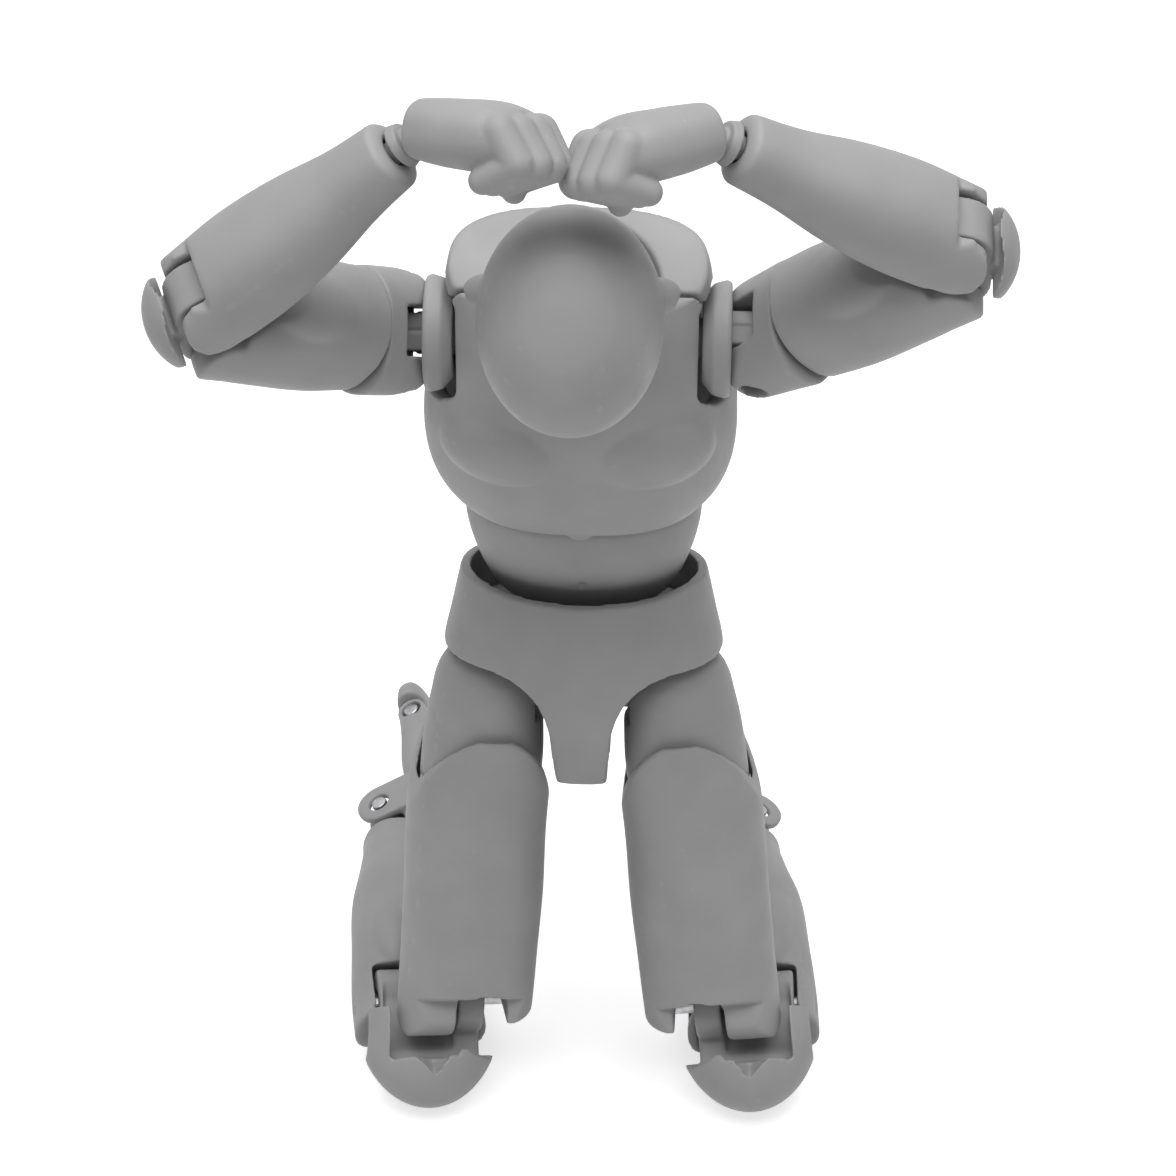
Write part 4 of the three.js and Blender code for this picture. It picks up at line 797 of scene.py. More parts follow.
def tip(spec, low, high, beyond, grow=0.0):
    """Rounded end of a tongue, with a fuller nose on the side of the cap."""
    nose = (spec["fore"] * spec["nose"], -beyond * spec["nose"])
    return joined(bar("x", spec["round"] + grow, low, high),
                  bar("x", spec["nose_radius"] + grow, low, high, nose))


def tip_trim(spec, beyond):
    heights = (-FAR, spec["nose"]) if beyond < 0 else (-spec["nose"], FAR)
    return cut(slab("z", *heights), tip(spec, -FAR - 1, FAR + 1, beyond))


def fold_trim(spec, beyond):
    near = (spec["pin_gap"] - GAP) / 2
    heights = (-2 * FAR, -near) if beyond < 0 else (near, 2 * FAR)
    return turned(slab("z", *heights), "x", beyond * spec["fore"] * spec["fold"])


def arm_slot(spec, low, high, beyond):
    """Slot for one arm of a link, open beyond the pin."""
    radius = spec["arm"] + SWING_GAP
    heights = (-FAR, 0) if beyond < 0 else (0, FAR)
    folded = turned(block(low, high, -radius, radius, *heights), "x",
                    beyond * spec["fore"] * spec["fold"])
    return joined(bar("x", radius, low, high), block(low, high, -FAR, FAR, *heights), folded)


def cap_room(spec, beyond):
    """Room that the link's cap sweeps round a limb's end."""
    radius = spec["cap_inner"] - GAP
    middle = 180 if spec["fore"] < 0 else 0
    toward = 1 if spec["fore"] * beyond > 0 else -1
    start, end = sorted((middle - toward * spec["edge"], middle + toward * spec["sweep"]))
    angles = [radians(a) for a in np.linspace(start, end, 20)]
    inner = [(radius * cos(a), radius * sin(a)) for a in angles]
    outer = [(FAR * cos(a), FAR * sin(a)) for a in reversed(angles)]
    return plate(inner + outer, "x", -FAR, FAR)


def pin_hole(axis="x"):
    return bar(axis, PIN_RADIUS + GAP, -FAR, FAR)


def blind_hole(axis, low, high):
    """Pin hole closed at both ends."""
    return bar(axis, PIN_RADIUS + GAP, low - GAP, high + GAP)


def corner(x, z, radius, outward):
    """What rounds a lower corner of a limb's end off; outward is its side, 1 or -1."""
    low, high = sorted((x, outward * FAR))
    return cut(block(low, high, -FAR, FAR, -2 * FAR, z), bar("y", radius, -FAR - 1, FAR + 1, (x, z)))


def link_arms(spec, low, high):
    return joined(bar("x", spec["arm"], low, high),
                  bar("x", spec["arm"], low, high, (0, -spec["pin_gap"])),
                  block(low, high, -spec["arm"], spec["arm"], -spec["pin_gap"], 0))


def link_cap(spec, half, reach, height, web_span, upper_span=(-WIDE, WIDE)):
    """Full rounded shield hollowed round both pins, with a web between them."""
    middle, tall = -spec["pin_gap"] / 2, height / 2
    shield = globe((half * CAP_FULLNESS, reach - CAP_BASE, tall * CAP_FULLNESS),
                   (0, spec["fore"] * CAP_BASE, middle), segments=64)
    depths = (-FAR, -CAP_BASE) if spec["fore"] < 0 else (CAP_BASE, FAR)
    common(shield, block(-half, half, *depths, middle - tall, middle + tall))
    web = common(copied(shield),
                 block(*web_span, *depths, WEB_MARGIN - spec["pin_gap"], -WEB_MARGIN))
    cut(shield, bar("x", spec["cap_inner"], *upper_span),
        bar("x", spec["cap_inner"], -FAR, FAR, (0, -spec["pin_gap"])))
    return joined(shield, web)


def tip_room(spec, low, high, beyond):
    """Room in a link for the end of a limb's tongue."""
    past = (0, FAR) if beyond < 0 else (-FAR, 0)
    near = (-spec["pin_gap"] / 2, FAR) if beyond < 0 else (-FAR, spec["pin_gap"] / 2)
    depths = (0, FAR) if spec["fore"] < 0 else (-FAR, 0)
    hollow = common(block(low, high, -FAR, FAR, *past), bar("x", spec["cap_inner"], -FAR, FAR))
    return joined(tip(spec, low, high, beyond, GAP), hollow, block(low, high, *depths, *near))


# Head, neck and trunk

def head_piece():
    half = shapes("head_width") / 2
    front, back = shapes("head_depth") * 0.52, shapes("head_depth") * 0.48
    up = HEAD_JOINT_DROP
    head = loft([
        (up - 9.7, -4.6, 0.34, 0.34, 3.2 / front, 3.6 / back),
        (up - 8.6, -3.5, 0.52, 0.52, 4.8 / front, 4.3 / back),
        (up - 7.0, -2.2, 0.66, 0.66, 0.7, 0.62),
        (up - 2.9, -0.2, 0.89, 0.89, 0.93, 0.9),
        (up + 1.5, 0, 1, 1, 1, 1),
        (up + 5.0, 0.2, 0.93, 0.93, 0.93, 0.94),
        (up + 7.9, 0.6, 0.69, 0.69, 0.7, 0.7),
        (up + 9.9, 0.9, 0.34, 0.34, 0.36, 0.36),
    ], (half, half, front, back), cap_low=1.4, cap_high=1.0, square=0.505, rings=30, sides=64)
    tall = shapes("ear_height") / 2
    for side in (1, -1):
        ear = globe((1.7, 1.3, tall), (side * (half - 0.45), 1.6, up - 0.8), (12, 0, 0))
        lobe = globe((1.1, 0.85, 0.95), (side * (half - 0.3), 1.15, up - 0.8 - tall * 0.75))
        hollow = globe((0.5, 0.6, tall * 0.5), (side * (half + 1.2), 1.1, up - 0.6), (12, 0, 0))
        joined(head, cut(joined(ear, lobe), hollow))
    shifted(head, y=-HEAD_FORWARD)
    radius = 4.5
    neck_rooms = [turned(bar("z", radius + SWING_GAP, -FAR, -1, top=radius - 0.1), "x", -angle)
                  for angle in (-12, 0, 12, 24, 36)]
    return moulded(cut(head, ball(NECK_BALL + GAP), *neck_rooms), passes=5)


def neck_piece():
    half, deep = 3.8, 4.2
    neck = loft([
        (NECK_DROP - 0.6, 0, 1, 1, 1, 1),
        (NECK_DROP + NECK_LENGTH * 0.45, 0, 0.94, 0.94, 0.94, 0.94),
        (NECK_DROP + NECK_LENGTH, -0.6, 0.9, 0.9, 0.9, 0.9),
    ], (half, half, deep, deep), cap_low=0.8, cap_high=1.6)
    cords = [globe((0.9, 0.9, 4.0), (side * 2.3, -3.1, NECK_DROP + 3.2), (0, side * 14, 0))
             for side in (1, -1)]
    root = joined(ball(NECK_BALL), bar("z", NECK_STEM + 0.3, 0, NECK_DROP + 0.6))
    joined(neck, root, *cords)
    ball_room = ball(NECK_BALL + GAP, (0, NECK_TOP_BACK, HEAD_JOINT_Z))
    peg_hole = bar("z", NECK_STEM + GAP, HEAD_JOINT_Z - 5.9, FAR, (0, NECK_TOP_BACK))
    return moulded(cut(neck, peg_hole, ball_room), passes=3)


def chest_form(inset):
    half = shapes("chest_width") / 2 - inset
    front, back = CHEST_FRONT - inset, CHEST_BACK - inset
    height = CHEST_TOP - inset - CHEST_RIM
    low = CHEST_RIM - 1 if inset else CHEST_RIM

    def share(amount):
        return CHEST_RIM + height * amount

    return loft([
        (low, 0, 0.86, 0.86, 0.86, 0.84),
        (share(0.12), 0, 0.95, 0.95, 0.95, 0.92),
        (share(0.42), 0, 1, 1, 1, 0.98),
        (share(0.62), 0, 0.93, 0.93, 0.95, 1),
        (share(0.8), 0.4, 0.84, 0.84, 0.78, 1),
        (share(0.93), 1, 0.82, 0.82, 0.56, 0.92),
        (share(1), 1.4, 0.79, 0.79, 0.42, 0.8),
    ], (half, half, front, back), square=0.59, rings=26, sides=64)


def chest_openings():
    back = SHOULDER_PIN_X + CUP_FACE - CUP_DEPTH - GAP
    cups = [bar("x", CUP_RADIUS + SWING_GAP, *sorted((side * back, side * FAR)),
                (0, SHOULDER_HEIGHT)) for side in (1, -1)]
    neck = bar("z", NECK_OPENING, NECK_BASE_HEIGHT - 2.4, FAR, (0, NECK_BASE_BACK - 0.9),
               top=NECK_OPENING_TOP)
    axle = bar("x", SHOULDER_AXLE + SWING_GAP, -FAR, FAR, (0, SHOULDER_HEIGHT))
    return [*cups, neck, axle]


def chest_pieces():
    """Front and back shells, parted along the sides."""
    shell = chest_form(0)
    for side in (1, -1):
        joined(shell,
               globe((5.8, 3.3, 5.4), (side * 5.4, -5.9, 12.2), (6, side * -10, side * 6)),
               globe((3.6, 2.2, 6.0), (side * 6.0, 5.4, 14.0), (0, side * 12, 0)))
    cut(shell, chest_form(shapes("chest_wall")), *chest_openings())
    front = copied(shell)
    tab = globe((1.1, 0.7, 0.5), (0, -7.3, CHEST_RIM - 0.1))
    joined(front, tab)
    common(front, slab("y", -FAR, -GAP / 2))
    common(shell, slab("y", GAP / 2, FAR))
    return moulded(front), moulded(shell)


def abdomen_piece():
    half, deep = shapes("abdomen_width") / 2, ABDOMEN_HALF_DEPTH
    belly = loft([
        (-ABDOMEN_BELOW, -0.3, 0.74, 0.74, 0.74, 0.64),
        (0, -0.2, 0.88, 0.88, 0.87, 0.8),
        (ABDOMEN_ABOVE * 0.5, 0, 1, 1, 1, 1),
        (ABDOMEN_ABOVE, 0, 0.98, 0.98, 0.95, 0.95),
    ], (half, half, deep, deep), cap_low=2.2, cap_high=3.0, sides=56)
    midline = rod((0, -7.25, -1), (0, -7.5, 8.5), 1.1, 1.1)
    navel = globe((0.45, 0.8, 0.6), (0, -6.4, 2.2))
    sockets = [ball(TRUNK_BALL + GAP), bar("z", TRUNK_STEM + GAP, -FAR, 0),
               bar("z", TRUNK_BALL * 3.1, -TRUNK_BALL * 2.6, -TRUNK_BALL * 0.35,
                   top=TRUNK_BALL * 0.92),
               bar("z", TRUNK_STEM + GAP, WAIST_TO_CHEST - CHEST_STEM - GAP, FAR),
               ball(TRUNK_BALL + GAP, (0, 0, WAIST_TO_CHEST))]
    return moulded(cut(belly, midline, navel, *sockets), passes=6)


def pelvis_form(inset):
    half = shapes("pelvis_width") / 2 - inset
    front, back = PELVIS_FRONT - inset, PELVIS_BACK - inset
    height = PELVIS_TOP - PELVIS_BOTTOM
    low = PELVIS_BOTTOM + inset
    top = PELVIS_TOP + (1 if inset else 0)

    def share(amount):
        return PELVIS_BOTTOM + height * amount

    return loft([
        (low, -0.8, 0.3, 0.3, 0.28, 0.22),
        (share(0.17), -0.5, 0.62, 0.62, 0.62, 0.6),
        (share(0.4), 0, 0.94, 0.94, 0.93, 0.95),
        (share(0.61), 0, 1, 1, 1, 1),
        (share(0.8), 0, 0.94, 0.94, 0.97, 0.95),
        (top, 0, 0.87, 0.87, 0.88, 0.78),
    ], (half, half, front, back), rings=24, sides=64)


def leg_opening(side):
    """Leg hole of the cover: straight at the hip, then curving down to the strap."""
    edge = [(STRAP - 0.5, -FAR), (STRAP - 0.3, -8), (STRAP, -3.5), (STRAP + 0.15, -1.3),
            (STRAP + 0.5, 0.2), (STRAP + 1.1, 1.7), (4.7, 3.0),
            (6.1, 4.0), (7.8, 4.5), (10, 4.6), (FAR, 4.3), (FAR, -FAR)]
    return plate([(side * x, z) for x, z in edge], "y", -FAR, FAR)


def pelvis_piece():
    cover = cut(pelvis_form(0), pelvis_form(shapes("pelvis_wall")), leg_opening(1), leg_opening(-1))
    bend = ((RIM_DIP_WIDTH / 2) ** 2 + RIM_DIP ** 2) / (2 * RIM_DIP)
    dip = bar("y", bend, -FAR, FAR, (0, PELVIS_TOP - RIM_DIP + bend), vertices=360)
    return moulded(cut(cover, dip))


# Arms

def shoulder_cup():
    cup = lathed([
        (-CUP_DEPTH, SHOULDER_AXLE + GAP), (-CUP_DEPTH, CUP_RADIUS * 0.72),
        (-CUP_DEPTH * 0.62, CUP_RADIUS * 0.94), (-0.4, CUP_RADIUS), (0, CUP_RADIUS - 0.2),
        (0, CUP_RADIUS - 0.8), (-CUP_DEPTH * 0.45, CUP_RADIUS * 0.8),
        (-CUP_DEPTH + 0.8, CUP_RADIUS * 0.62), (-CUP_DEPTH + 0.8, SHOULDER_AXLE + GAP)])
    return moulded(shifted(cup, x=CUP_FACE), 0.8, 3)


def shoulder_hinge():
    """Axle and a tang in two layers, the lower one a little longer."""
    half, radius = SHOULDER_TANG / 2, SHOULDER_TANG_RADIUS
    start = CUP_FACE - CUP_DEPTH + 0.8 + GAP
    core = radius - 0.15
    hinge_body = joined(
        bar("x", SHOULDER_AXLE, AXLE_END - SHOULDER_PIN_X, -radius * 0.4),
        bar("y", core, -half, half), block(start, 0, -half, half, -core, core),
        bar("y", radius, 0.3, half), block(start, 0, 0.3, half, -radius, radius),
        bar("y", radius, -half, -0.1), block(start, 0, -half, -0.1, -radius, radius))
    return moulded(cut(hinge_body, pin_hole("y")), 0.6, 2)


def deltoid_piece():
    deep, crown = DELTOID_DEPTH / 2, SHOULDER_TANG_RADIUS + 1
    cap = loft([
        (-DELTOID_LENGTH, 0, 4.23, 4.42, deep, deep),
        (-DELTOID_LENGTH * 0.6, 0, 3.6, 3.8, deep, deep),
        (0, 0, crown, crown, deep * 0.97, deep * 0.97),
        (crown, 0, crown * 0.8, crown * 0.8, deep * 0.86, deep * 0.86),
    ], cap_high=crown, square=0.55)
    slot_half, floor = SHOULDER_TANG / 2 + SWING_GAP, SHOULDER_TANG_RADIUS + SWING_GAP
    slot = block(-FAR, FAR, -slot_half, slot_half, -floor, FAR)
    stem = bar("z", ARM_STEM, -DELTOID_LENGTH - ARM_STEM_LENGTH, -DELTOID_LENGTH + 1)
    return moulded(joined(cut(cap, slot, pin_hole("y")), stem))


def elbow_end(beyond):
    """What leaves two rounded cheeks at a limb's end, outside the link's plate."""
    return [arm_slot(ELBOW, -ELBOW_SLOT, ELBOW_SLOT, beyond), tip_trim(ELBOW, beyond),
            fold_trim(ELBOW, beyond), cap_room(ELBOW, beyond),
            blind_hole("x", -ELBOW_PIN_HALF, ELBOW_PIN_HALF)]


def upper_arm_piece():
    deep, wide = shapes("upper_arm_depth") / 2, UPPER_ARM_HALF
    top = -DELTOID_LENGTH - GAP
    reach = UPPER_ARM_LENGTH + ELBOW["pin_gap"] / 2
    arm = loft([
        (top, 0, 0.95, 1, 0.96, 0.96),
        (-reach * 0.45, 0, 1, 1.04, 1.03, 0.98),
        (-reach * 0.68, 0, 0.96, 0.98, 0.95, 0.9),
        (-reach * 0.86, 0, 0.92, 0.92, 0.8, 0.8),
        (-reach - 1, 0, 0.9, 0.9, 0.76, 0.76),
    ], (wide, wide, deep, deep))
    biceps = globe((3.3, 2.4, 5.6), (-0.4, -3.5, -12.2))
    triceps = globe((3.4, 2.2, 5.2), (0.8, 3.3, -10.6))
    joined(arm, biceps, triceps)
    bore = bar("z", ARM_STEM + GAP, top - ARM_STEM_LENGTH - GAP, FAR)
    end = [shifted(tool, z=-UPPER_ARM_LENGTH) for tool in elbow_end(-1)]
    return moulded(cut(arm, bore, *end))


def elbow_link():
    """Middle plate with both pins, and the rounded point of the elbow."""
    half = ELBOW_LINK_WIDTH / 2
    link = joined(link_arms(ELBOW, -half, half),
                  link_cap(ELBOW, ELBOW_CAP_HALF, ELBOW_CAP_REACH, ELBOW_CAP_HEIGHT, (-half, half)))
    rooms = [shifted(tip_room(ELBOW, *span, beyond), z=z)
             for span in ((half, WIDE), (-WIDE, -half))
             for beyond, z in ((-1, 0), (1, -ELBOW["pin_gap"]))]
    holes = [pin_hole(), shifted(pin_hole(), z=-ELBOW["pin_gap"])]
    return moulded(cut(link, *rooms, *holes), 0.8, 8)


def forearm_piece():
    wide, wrist, length = shapes("forearm_width") / 2, FOREARM_END, FOREARM_LENGTH
    arm = loft([
        (ELBOW["pin_gap"] / 2 + 1, 0, wide * 0.94, wide * 0.94, wide, wide * 0.92),
        (-1, 0, wide * 0.98, wide * 0.98, wide * 1.04, wide * 0.94),
        (-length * 0.24, 0, wide, wide, wide * 1.04, wide * 0.96),
        (-length * 0.5, 0, wide * 0.9, wide * 0.9, wide * 0.92, wide * 0.86),
        (-length * 0.78, 0, wrist * 1.14, wrist * 1.14, wrist * 1.18, wrist * 1.1),
        (-length, 0, wrist, wrist, wrist, wrist),
    ], cap_low=0.7)
    joined(arm, globe((2.6, 2.6, 6.0), (1.6, -1.7, -5.2), (0, 8, 0)),
           globe((2.2, 2.2, 5.4), (-1.8, -1.0, -6.0), (0, -6, 0)))
    bore = bar("z", WRIST_STEM + GAP, -FAR, -length + WRIST_STEM_LENGTH - WRIST_REACH + GAP)
    return moulded(cut(arm, *elbow_end(1), bore))


def wrist_peg():
    """Ball, a plain stem and the collar that stops it at the forearm."""
    stem = bar("z", WRIST_STEM, WRIST_BALL * 0.5, WRIST_STEM_LENGTH)
    collar = bar("z", 1.5, 1.55, WRIST_REACH - 0.3, top=1.75)
    return moulded(joined(stem, ball(WRIST_BALL), collar), 0.6, 2)


def hand_piece():
    """Closed fist: the back of the hand, four curled fingers and a thumb laid across."""
    fist = loft([
        (0.8, 0, 2.1, 2.1, 2.5, 2.5),
        (-3.0, 0, 2.4, 2.5, 3.5, 3.4),
        (-6.4, 0, 2.2, 2.6, 3.8, 3.7),
        (-8.3, 0, 1.6, 2.1, 3.5, 3.3),
    ], cap_low=0.7, cap_high=0.7, square=0.56)
    fingers = ((-2.7, 1.32, -0.1), (-0.95, 1.36, 0.2), (0.85, 1.32, 0.0), (2.5, 1.2, -0.5))
    for y, radius, forward in fingers:
        knuckle = (0.75, y * 0.97, -7.9 - forward)
        middle = (-1.25, y * 0.9, -9.5 - forward)
        tip_end = (-2.75, y * 0.86, -6.4)
        joined(fist, rod(knuckle, middle, radius * 1.04, radius),
               rod(middle, tip_end, radius * 0.98, radius * 0.86))
    joined(fist, rod((-0.7, -2.9, -2.2), (-2.7, -3.5, -4.9), 1.3, 1.15),
           rod((-2.7, -3.5, -4.9), (-3.5, -1.5, -6.9), 1.08, 0.9))
    socket = [ball(WRIST_BALL + GAP), bar("z", WRIST_BALL * 1.05, 0, 4, top=5.6)]
    return moulded(cut(fist, *socket), 0.75, 5)


# Legs

def hip_joint():
    half = HIP_TANG / 2
    axle = bar("x", HIP_AXLE, -HIP_AXLE_LENGTH, 0)
    return moulded(cut(joined(axle, bar("y", HIP_TANG_RADIUS, -half, half)), pin_hole("y")), 0.8, 3)


def thigh_top():
    r = THIGH_TOP_RADIUS
    body = loft([
        (-THIGH_TOP_LENGTH, 0, r, r, r, r),
        (-THIGH_TOP_LENGTH * 0.5, 0, r, r, r, r),
        (-THIGH_TOP_LENGTH * 0.25, 0, r * 0.95, r * 0.97, r * 0.97, r * 0.97),
        (0, 0, HIP_DOME * 0.99, HIP_DOME, HIP_DOME, HIP_DOME),
        (HIP_DOME, 0, HIP_DOME, HIP_DOME, HIP_DOME, HIP_DOME),
    ], cap_high=HIP_DOME, square=0.5)
    half, eye, axle = HIP_TANG / 2 + GAP, HIP_TANG_RADIUS + SWING_GAP, HIP_AXLE + SWING_GAP
    cut(body, bar("y", eye, -half, half), block(-FAR, 0, -axle, axle, -axle, FAR),
        block(-FAR, eye, -half, half, 0, FAR), blind_hole("y", -HIP_PIN_HALF, HIP_PIN_HALF))
    stem = bar("z", THIGH_STEM, -THIGH_TOP_LENGTH - THIGH_STEM_LENGTH, 1 - THIGH_TOP_LENGTH)
    return moulded(joined(body, stem))


def thigh_piece():
    sleeve, wide, deep = THIGH_SLEEVE, shapes("thigh_width") / 2, THIGH_HALF_DEPTH
    length, rim, back = THIGH_LENGTH, THIGH_RIM, KNEE_SETBACK
    body = loft([
        (rim, 0, sleeve, sleeve, sleeve, sleeve),
        (-THIGH_TOP_LENGTH * 0.6, 0, sleeve, sleeve, sleeve, sleeve),
        (-length * 0.42, -back * 0.1, wide, wide * 1.01, deep, deep * 0.97),
        (-length * 0.6, -back * 0.4, wide * 1.04, wide * 0.98, deep * 0.96, deep * 0.9),
        (-length * 0.8, -back * 0.8, wide * 1.04, wide * 0.96, deep * 0.83, deep * 0.78),
        (-length * 0.92, -back, wide * 1.04, wide * 0.96, deep * 0.76, deep * 0.68),
        (-length - KNEE["pin_gap"], -back, wide * 1.02, wide * 0.94, deep * 0.7, deep * 0.54),
    ], rings=26, sides=56)
    arch_half = sleeve + 0.4
    arch = [(arch_half * cos(a), rim - THIGH_RIM_ARCH + (THIGH_RIM_ARCH + GAP) * sin(a))
            for a in np.linspace(0, pi, 33)]
    outline = plate(arch + [(-arch_half, -2 * FAR), (arch_half, -2 * FAR)], "y", -FAR, FAR)
    bores = [bar("z", THIGH_TOP_RADIUS + GAP, -THIGH_TOP_LENGTH - GAP, FAR),
             bar("z", THIGH_STEM + GAP, -THIGH_TOP_LENGTH - THIGH_STEM_LENGTH - GAP, 0)]
    slot_middle = (KNEE_SLOT_IN + KNEE_LOBE_IN) / 2
    slot_half = (KNEE_LOBE_IN - KNEE_SLOT_IN) / 2 + 0.25
    knee = [arm_slot(KNEE, KNEE_SLOT_IN, KNEE_LOBE_IN, -1),
            bar("y", slot_half, -FAR, 0, (slot_middle, KNEE_SLOT_TOP)),
            block(slot_middle - slot_half, slot_middle + slot_half, -FAR, 0, -FAR, KNEE_SLOT_TOP),
            tip_trim(KNEE, -1), fold_trim(KNEE, -1), cap_room(KNEE, -1),
            *[corner(KNEE_LOBE_MIDDLE, KNEE_LOBE_ROUND - KNEE["round"], KNEE_LOBE_ROUND, side)
              for side in (1, -1)],
            blind_hole("x", KNEE_PIN_IN, KNEE_PIN_OUT)]
    end = [shifted(tool, x=KNEE_OUTWARD, z=-length) for tool in knee]
    return moulded(cut(common(body, outline), *bores, *end))


def knee_link():
    """Tang above, hub below and the kneecap in front with its notch."""
    link = joined(bar("x", KNEE["arm"], KNEE_LINK_IN, KNEE_HUB_OUT, (0, -KNEE["pin_gap"])),
                  link_arms(KNEE, KNEE_LINK_IN, KNEE_LOBE_IN - GAP),
                  link_cap(KNEE, KNEE_CAP_HALF, KNEE_CAP_REACH, KNEE_CAP_HEIGHT,
                           (KNEE_LINK_IN, KNEE_LINK_OUT), (-WIDE, KNEE_CHEEK_IN)))
    notch = cone((0.8, 0.5, 7.5), (0.1, -8.0, 0.8), 6.6, 0, vertices=4)
    rooms = [tip_room(KNEE, KNEE_LOBE_IN - GAP, KNEE_CHEEK_IN, -1),
             tip_room(KNEE, -WIDE, KNEE_LINK_IN, -1), blind_hole("x", -WIDE, KNEE_CHEEK_IN - 1)]
    lower = [shifted(tool, z=-KNEE["pin_gap"])
             for tool in (tip_room(KNEE, -WIDE, KNEE_LINK_IN, 1),
                          tip_room(KNEE, KNEE_HUB_OUT, WIDE, 1), pin_hole())]
    return moulded(cut(link, *rooms, *lower, notch))


def shin_piece():
    wide, calf, ankle = SHIN_HALF, shapes("calf_depth") / 2, SHIN_END
    back, length = KNEE_SETBACK, SHIN_LENGTH
    foot_end = -length + ANKLE_BALL + SWING_GAP
    body = loft([
        (KNEE["pin_gap"], -back, wide, wide * 1.15, calf * 0.78, calf * 0.7),
        (-length * 0.1, -back * 0.8, wide, wide * 1.12, calf * 0.82, calf * 0.84),
        (-length * 0.3, -back * 0.3, wide * 0.97, wide * 1.04, calf * 0.87, calf * 1.04),
        (-length * 0.5, 0, wide * 0.85, wide * 0.95, calf * 0.82, calf),
        (-length * 0.7, 0, ankle * 1.12, ankle * 1.22, ankle * 1.2, ankle * 1.32),
        (-length * 0.87, 0, ankle * 0.94, ankle * 0.97, ankle * 1.02, ankle * 1.06),
        (foot_end, 0, ankle * 0.94, ankle * 0.97, ankle * 0.97, ankle * 1.02),
    ], cap_low=0.7, rings=26, sides=56)
    joined(body, globe((2.4, 2.4, 7.0), (-2.0, 3.4, -9.6)), globe((2.4, 2.4, 6.4), (2.6, 3.2, -8.6)))
    knee = [arm_slot(KNEE, KNEE_LINK_IN - GAP, KNEE_HUB_OUT + GAP, 1),
            tip_trim(KNEE, 1), fold_trim(KNEE, 1), cap_room(KNEE, 1),
            blind_hole("x", -LOWER_PIN_HALF, LOWER_PIN_HALF),
            bar("x", SHIN_DIMPLE, SHIN_DIMPLE_OUT, FAR), bar("x", SHIN_DIMPLE, -FAR, SHIN_DIMPLE_IN)]
    bore = bar("z", ANKLE_STEM + GAP, -2 * FAR, -length + ANKLE_STEM_LENGTH + GAP)
    return moulded(cut(body, *knee, bore))


def ankle_joint():
    stem = bar("z", ANKLE_STEM, ANKLE_BALL * 0.6, ANKLE_STEM_LENGTH)
    return moulded(cut(joined(stem, ball(ANKLE_BALL)), pin_hole()), 0.8, 3)


def foot_form():
    def ring(forward, height, inner, outer):
        return forward, height / 2 - ANKLE_HEIGHT, inner, outer, height / 2, height / 2

    half = FOOT_WIDTH / 2
    sole = loft([
        ring(-FOOT_HEEL, 3.2, half * 0.56, half * 0.56),
        ring(-FOOT_HEEL * 0.5, 3.6, half * 0.72, half * 0.72),
        ring(0, 4.2, half * 0.76, half * 0.76),
        ring(FOOT_FRONT * 0.4, 4.8, half * 0.84, half * 0.86),
        ring(FOOT_FRONT * 0.75, 3.9, half * 0.98, half),
        ring(FOOT_FRONT + 1.4, TOE_THICKNESS, half, half * 1.02),
    ], cap_low=1.6, square=0.575)
    return turned(sole, "x", 90)


def foot_piece():
    bracket = ANKLE_BALL + 1.2
    hub = ANKLE_BALL + 0.1
    foot = joined(foot_form(), bar("x", hub, -bracket, bracket),
                  block(-bracket, bracket, -hub, hub, -ANKLE_HEIGHT + 1, 0),
                  globe((bracket, 3.0, 3.4), (0, 0.9, -3.6)))
    room = ANKLE_BALL + GAP
    arch = bar("x", 9.0, -FAR, FAR, (-3.6, -ANKLE_HEIGHT - 8.1), vertices=72)
    cut(foot, bar("x", room + 0.15, -room, room), block(-room, room, -room, FAR, 0, FAR),
        block(-room, room, 0, FAR, -room + 0.6, FAR), pin_hole(), arch,
        bar("x", TOE_KNUCKLE + GAP, -FAR, FAR, (-FOOT_FRONT, -TOE_HINGE_HEIGHT)),
        slab("y", -FAR, -FOOT_FRONT))
    low, high = TOE_KNUCKLE_HALF + GAP, FOOT_WIDTH * 0.42
    for span in ((low, high), (-high, -low)):
        joined(foot, bar("x", TOE_KNUCKLE, *span, (-FOOT_FRONT, -TOE_HINGE_HEIGHT)),
               block(*span, -FOOT_FRONT, -FOOT_FRONT + 3,
                     -TOE_HINGE_HEIGHT - TOE_KNUCKLE, -TOE_HINGE_HEIGHT + TOE_KNUCKLE))
    return moulded(cut(foot, shifted(pin_hole(), y=-FOOT_FRONT, z=-TOE_HINGE_HEIGHT)))


def toe_piece():
    wide, half = FOOT_WIDTH / 2, TOE_THICKNESS / 2
    toe = loft([
        (TOE_KNUCKLE + GAP, 0, wide, wide * 1.02, half, half),
        (TOE_LENGTH * 0.6, -half * 0.1, wide * 0.96, wide, half * 0.9, half * 0.9),
        (TOE_LENGTH, -half * 0.25, wide * 0.7, wide * 0.66, half * 0.75, half * 0.7),
    ], cap_high=1.2, square=0.575)
    turned(toe, "x", 90)
    joined(toe, bar("x", TOE_KNUCKLE, -TOE_KNUCKLE_HALF, TOE_KNUCKLE_HALF),
           block(-TOE_KNUCKLE_HALF, TOE_KNUCKLE_HALF, -TOE_KNUCKLE - 1, 0, -half * 0.8, half * 0.8))
    return moulded(cut(toe, pin_hole()))


def pin(axis, low, high):
    """Steel pin with bevelled ends."""
    piece = bar(axis, PIN_RADIUS, low, high, vertices=32)
    open_mesh()
    bpy.ops.mesh.edges_select_sharp(sharpness=radians(60))
    bpy.ops.mesh.bevel(offset=0.16, segments=3, affect="EDGES")
    bpy.ops.object.mode_set(mode="OBJECT")
    bpy.ops.object.shade_smooth_by_angle(angle=radians(40))
    return piece


# Operators

